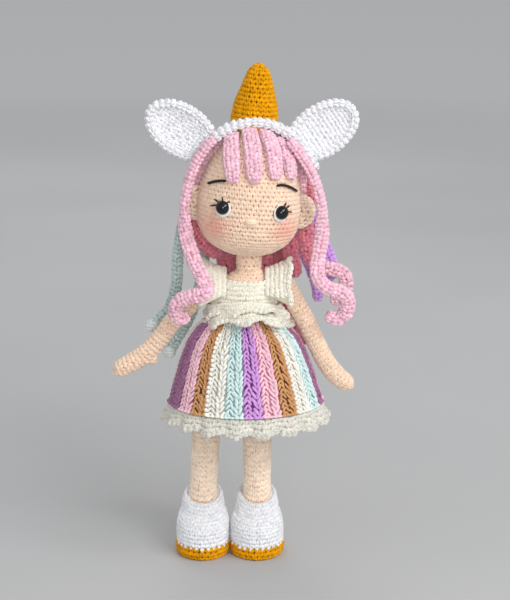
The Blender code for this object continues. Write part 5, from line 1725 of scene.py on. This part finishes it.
def outside_band(centre):
    local = head_local(centre) - (BAND_ASIDE, 0, 0)
    wide = HEAD_HALF[0] + BAND_SEAT + HAIR_SIDES + BAND_SIDES
    local = local / (wide, HEAD_HALF[1] + BAND_SEAT, HEAD_CROWN + BAND_SEAT)
    return (local ** 2).sum(axis=1) > BURIED_SHARE


def make_white_ears(yarns):
    for side, word in SIDES:
        piece = Piece(f"{word}_headband_ear_crochet", 130 + side)
        surface = white_ear_surface(side)
        piece.shell_tube(surface, YARNS["white"], sink=0.35)
        piece.knit("white_ear", surface, YARNS["white"], keep=outside_band)
        place = white_ear_place(side)
        turn = np.linspace(-0.30 * math.pi, 1.30 * math.pi, 90)
        flat = np.stack([np.cos(turn) * (WHITE_EAR_HALF[0] - EAR_ROPE_IN), np.full(90, -1.0),
                         np.sin(turn) * (WHITE_EAR_HALF[2] - EAR_ROPE_IN)], axis=1)
        route = placed(flat, place)
        route = route[outside_band(route)]
        ahead = np.tile(np.array(place.to_3x3()) @ np.array((0, -1.0, 0)), (len(route), 1))
        scallops(piece, route, ahead, YARNS["white"], 2.9, 1.9, 1.9, swell=0.08)
        settle(piece, yarns["thick"], "headband", f"{word}_headband_ear")


def fabric(yarns, name, surface, thickness, yarn, laid, colour=None, seed=1):
    """A declared sheet, the fabric's ground; laid adds the stitches to the piece that goes with it."""
    ground = Piece(f"{name}_cloth", seed)
    ground.shell(surface, thickness, yarn, colour)
    cloth = ground.make(yarns["thick"])
    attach(cloth, "torso")
    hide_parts(name)
    piece = Piece(f"{name}_stitches", seed + 1)
    laid(piece, surface)
    extra = piece.make(yarns["thick"])
    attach(extra, "torso")


def stripe_colour(u, number=None, centre=None):
    """Five colours in turn; three stripes at the sides are a darker plum."""
    table = np.array([[linear(shade) for shade in pair] for pair in (*STRIPES, PLUM)])
    turn = (np.mod(u, 1) - 0.5) * 360
    stripe = np.floor((turn + 1) / STRIPE_ANGLE).astype(int)
    chosen = table[np.where(np.isin(stripe, PLUM_STRIPES), len(STRIPES), stripe % len(STRIPES))]
    return chosen[:, 0], chosen[:, 1]


def bead_colour(u, number, centre):
    return stripe_colour(u + 0.012)


def skirt_stitches(piece, surface):
    """Ribs and valleys in turn, a row of ends at the hem and a few beads between two stripes."""
    rib = chevron(4.6, 2.7, 0.66, 0.25)
    valley = chevron(4.4, 2.3, 0.62, -0.1, sign=-1)
    end = scaled(tube(((-0.9, -0.5, 0.1), (-0.3, 0.1, 0.7), (0.3, 0.1, 0.7), (0.9, -0.5, 0.1)),
                      (0.7, 1.0, 1.0, 0.7), sides=8), 2.4, 2.4)
    bead = scaled(tube(((0, -0.8, 0.3), (0, -0.3, 0.9), (0, 0.3, 0.9), (0, 0.8, 0.3)),
                       (0.6, 1.0, 1.0, 0.6), sides=8), 4.6, 2.6)
    striped = {"lean": 0.0, "offset": SKIRT_OFFSET, "colour": stripe_colour}
    piece.stitches(surface, rib, 2.65, 4.6, None, columns=50, start=1.0, wobble=0.08,
                   only_columns=lambda index: index % 2 == 0, **striped)
    piece.stitches(surface, valley, 2.25, 4.6, None, columns=50, start=1.0, wobble=0.08,
                   only_columns=lambda index: index % 2 == 1, **striped)
    piece.stitches(surface, end, 2.4, 2.4, None, columns=100, start=surface.length - 1.4,
                   short=-1.0, **striped)
    piece.stitches(surface, bead, 2.3, 4.6, None, columns=50, start=8.0, lean=0.0,
                   offset=SKIRT_OFFSET - 0.01, colour=bead_colour,
                   only_columns=lambda index: (index - 25) % 10 == 6)


def make_skirt(yarns):
    fabric(yarns, "skirt", skirt_surface(), 1.6, YARNS["cream"],
           skirt_stitches, colour=stripe_colour, seed=140)


def clear_of_arms(centre):
    roots = [np.array((NECK_X + side * SHOULDER[0], 0, SHOULDER[1])) for side, _ in SIDES]
    return np.min([np.linalg.norm(centre - root, axis=1) for root in roots], axis=0) > ARM_CLEAR


def make_bodice(yarns):
    def laid(piece, surface):
        piece.knit("bodice", surface, YARNS["cream"], keep=clear_of_arms)
        rim_beads(piece, surface, surface.length - 0.2, 2.5, 0.9, YARNS["cream"])

    fabric(yarns, "bodice", bodice_surface(), 1.2, YARNS["cream"],
           laid, seed=150)


def rim_beads(piece, surface, s, pitch, radius, yarn, lean=0.5):
    """A rope-like edge: short slanted yarn legs along the surface's rim."""
    count = max(4, round(surface.girth(s) / pitch))
    item = scaled(tube(((-lean * pitch, -radius, 0), (-0.1, -radius * 0.2, radius * 0.5),
                        (0.1, radius * 0.4, radius * 0.4), (lean * pitch, radius, -0.1)),
                       (radius * 0.7, radius, radius, radius * 0.7)), pitch, 2.6)
    piece.stitches(surface, item, 2.6, pitch, yarn, columns=count, lean=0.0, start=s - 1.3, stop=s + 1.3)


def ruffled(kind, yarn, pitch, radius):
    """Stitches of a frill and the rope of stitches along its last row."""
    def laid(piece, surface):
        piece.knit(kind, surface, yarn)
        scallops(piece, surface.points[-1], surface.normals[-1], yarn, pitch, radius, radius * 0.9,
                 swell=0.06)

    return laid


def make_waist_frills(yarns):
    for name, (rise, drop, flares, wave, phase, shift, heave, lift, seed) in WAIST_FRILLS.items():
        top = WAIST + rise
        centre, half_width, half_depth = torso_section(top)
        section = (centre, half_width + WAIST_FRILL_SEAT, half_depth + WAIST_FRILL_SEAT)
        surface = frill_surface(top, section, drop, *flares, 8, wave, 1.3, ripple=0.2, phase=phase,
                                front_lift=lift, aside_shift=shift, heave=heave)
        fabric(yarns, name, surface, 1.2, YARNS["cream"],
               ruffled("waist_frill", YARNS["cream"], 2.4, 1.0), seed=seed)


def make_hem_frill(yarns):
    centre, _, height, half_width, half_depth, _ = skirt_section(1.0, 1.0)
    section = (centre, half_width - HEM_FRILL_IN, half_depth - HEM_FRILL_IN)
    surface = frill_surface(height - 0.3, section, 7.6, 2.6, 2.8, 18, 2.1, 1.0, ripple=0.3, columns=600)
    fabric(yarns, "hem_frill", surface, 1.4, YARNS["hem"],
           ruffled("hem_frill", YARNS["hem"], 3.0, 1.2), seed=170)


def make_shoulder_frills(yarns):
    for side, word in SIDES:
        fabric(yarns, f"{word}_shoulder_frill", shoulder_frill_surface(side), 1.2,
               YARNS["cream"],
               ruffled("shoulder_frill", YARNS["cream"], 2.4, 1.15), seed=180 + side * 2)


def hidden_materials():
    """Materials of the solids that stay: rod, washers and insoles."""
    wood = plastic_material("rod_wood", (205, 170, 120), 0.6, 300.0)
    clear = plastic_material("moulded_plastic", (200, 202, 205), 0.4, 500.0)
    for node, material in (
        ("neck_rod", wood), ("left_eye_washer", clear), ("right_eye_washer", clear),
        ("left_insole", clear), ("right_insole", clear),
    ):
        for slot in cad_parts[node].material_slots:
            slot.material = material


def make_floor():
    mesh = bpy.data.meshes.new("floor")
    corners = [(x, y, 0) for x, y in ((-1, -1), (1, -1), (1, 1), (-1, 1))]
    mesh.from_pydata([Vector(corner) * FLOOR_REACH for corner in corners], [], [(0, 1, 2, 3)])
    floor = bpy.data.objects.new("floor", mesh)
    bpy.context.scene.collection.objects.link(floor)
    nodes = Nodes("pale_floor")
    cloud = nodes.noise(2.0, 2.0)
    near = nodes.mix(nodes.ramp(cloud, 0.3, 0.7), (0.49, 0.49, 0.49, 1), (0.53, 0.53, 0.53, 1))
    away = nodes.new("VectorMath", operation="LENGTH")
    nodes.link(nodes.new("TexCoord").outputs["Object"], away.inputs[0])
    # Painted light: from 0.9 m to 2.6 m away the floor turns paler, to 0.80, where the lamps light it less.
    nodes.link(nodes.mix(nodes.ramp(away.outputs["Value"], 0.9, 2.6), near, (0.80, 0.80, 0.80, 1)),
               nodes.shader.inputs["Base Color"])
    nodes.shader.inputs["Roughness"].default_value = 0.95
    nodes.shader.inputs["Specular IOR Level"].default_value = 0.05
    mesh.materials.append(nodes.material)


def make_lights():
    world = bpy.data.worlds.new("studio")
    world.use_nodes = True
    background = world.node_tree.nodes["Background"]
    background.inputs[0].default_value = SKY_COLOUR
    background.inputs[1].default_value = SKY_STRENGTH
    bpy.context.scene.world = world
    for name, place, size, power, spread in LIGHTS:
        light = bpy.data.lights.new(name, "AREA")
        light.size = size
        if spread:
            light.spread = math.radians(spread)
        light.energy = power
        lamp = bpy.data.objects.new(name, light)
        bpy.context.scene.collection.objects.link(lamp)
        lamp.location = place
        aim = Vector(LIGHT_AIM) - Vector(place)
        lamp.rotation_euler = aim.to_track_quat("-Z", "Y").to_euler()


def make_stage():
    """A plain pale floor, soft studio light and the camera at the photograph's angle."""
    make_floor()
    make_lights()
    camera = bpy.data.cameras.new("photo_camera")
    camera.sensor_width = CAMERA_SENSOR
    camera.lens = CAMERA_SENSOR * CAMERA_FOCUS / PHOTO_HEIGHT
    eye = bpy.data.objects.new("photo_camera", camera)
    bpy.context.scene.collection.objects.link(eye)
    eye.location = CAMERA_PLACE
    eye.rotation_euler = (math.radians(90 - CAMERA_DOWN), 0, 0)
    bpy.context.scene.camera = eye
    bpy.context.scene.view_settings.view_transform = "Standard"


yarns = {
    "fine": yarn_material("skin_crochet_yarn", marl=0.08),
    "thick": yarn_material("soft_crochet_yarn", marl=0.07, pitch=2.4),
    "mustard": yarn_material("mustard_crochet_yarn", marl=0.14, pitch=2.2, sheen=0.04, specular=0.1),
    "marl": yarn_material("marled_hair_yarn", marl=0.16, pitch=2.4, sheen=0.5),
    "thread": yarn_material("embroidery_thread", plies=2, pitch=1.0, marl=0.05, sheen=0.1, roughness=0.6),
}
gloss = plastic_material("gloss_black_eye", (3, 3, 4), 0.05, 900.0)
gloss.node_tree.nodes["Principled BSDF"].inputs["Specular IOR Level"].default_value = 0.5
felt = plastic_material("white_felt", (236, 236, 238), 0.9, 2500.0)

make_stage()
hidden_materials()
make_head(yarns)
make_nose(yarns)
make_ears(yarns)
make_eyes(gloss, felt)
for make in (
    make_brows, make_torso, make_arms, make_legs, make_boots, make_cap, make_fringe, make_locks,
    make_nape, make_band, make_horn, make_white_ears, make_bodice, make_skirt, make_waist_frills,
    make_hem_frill, make_shoulder_frills,
):
    make(yarns)
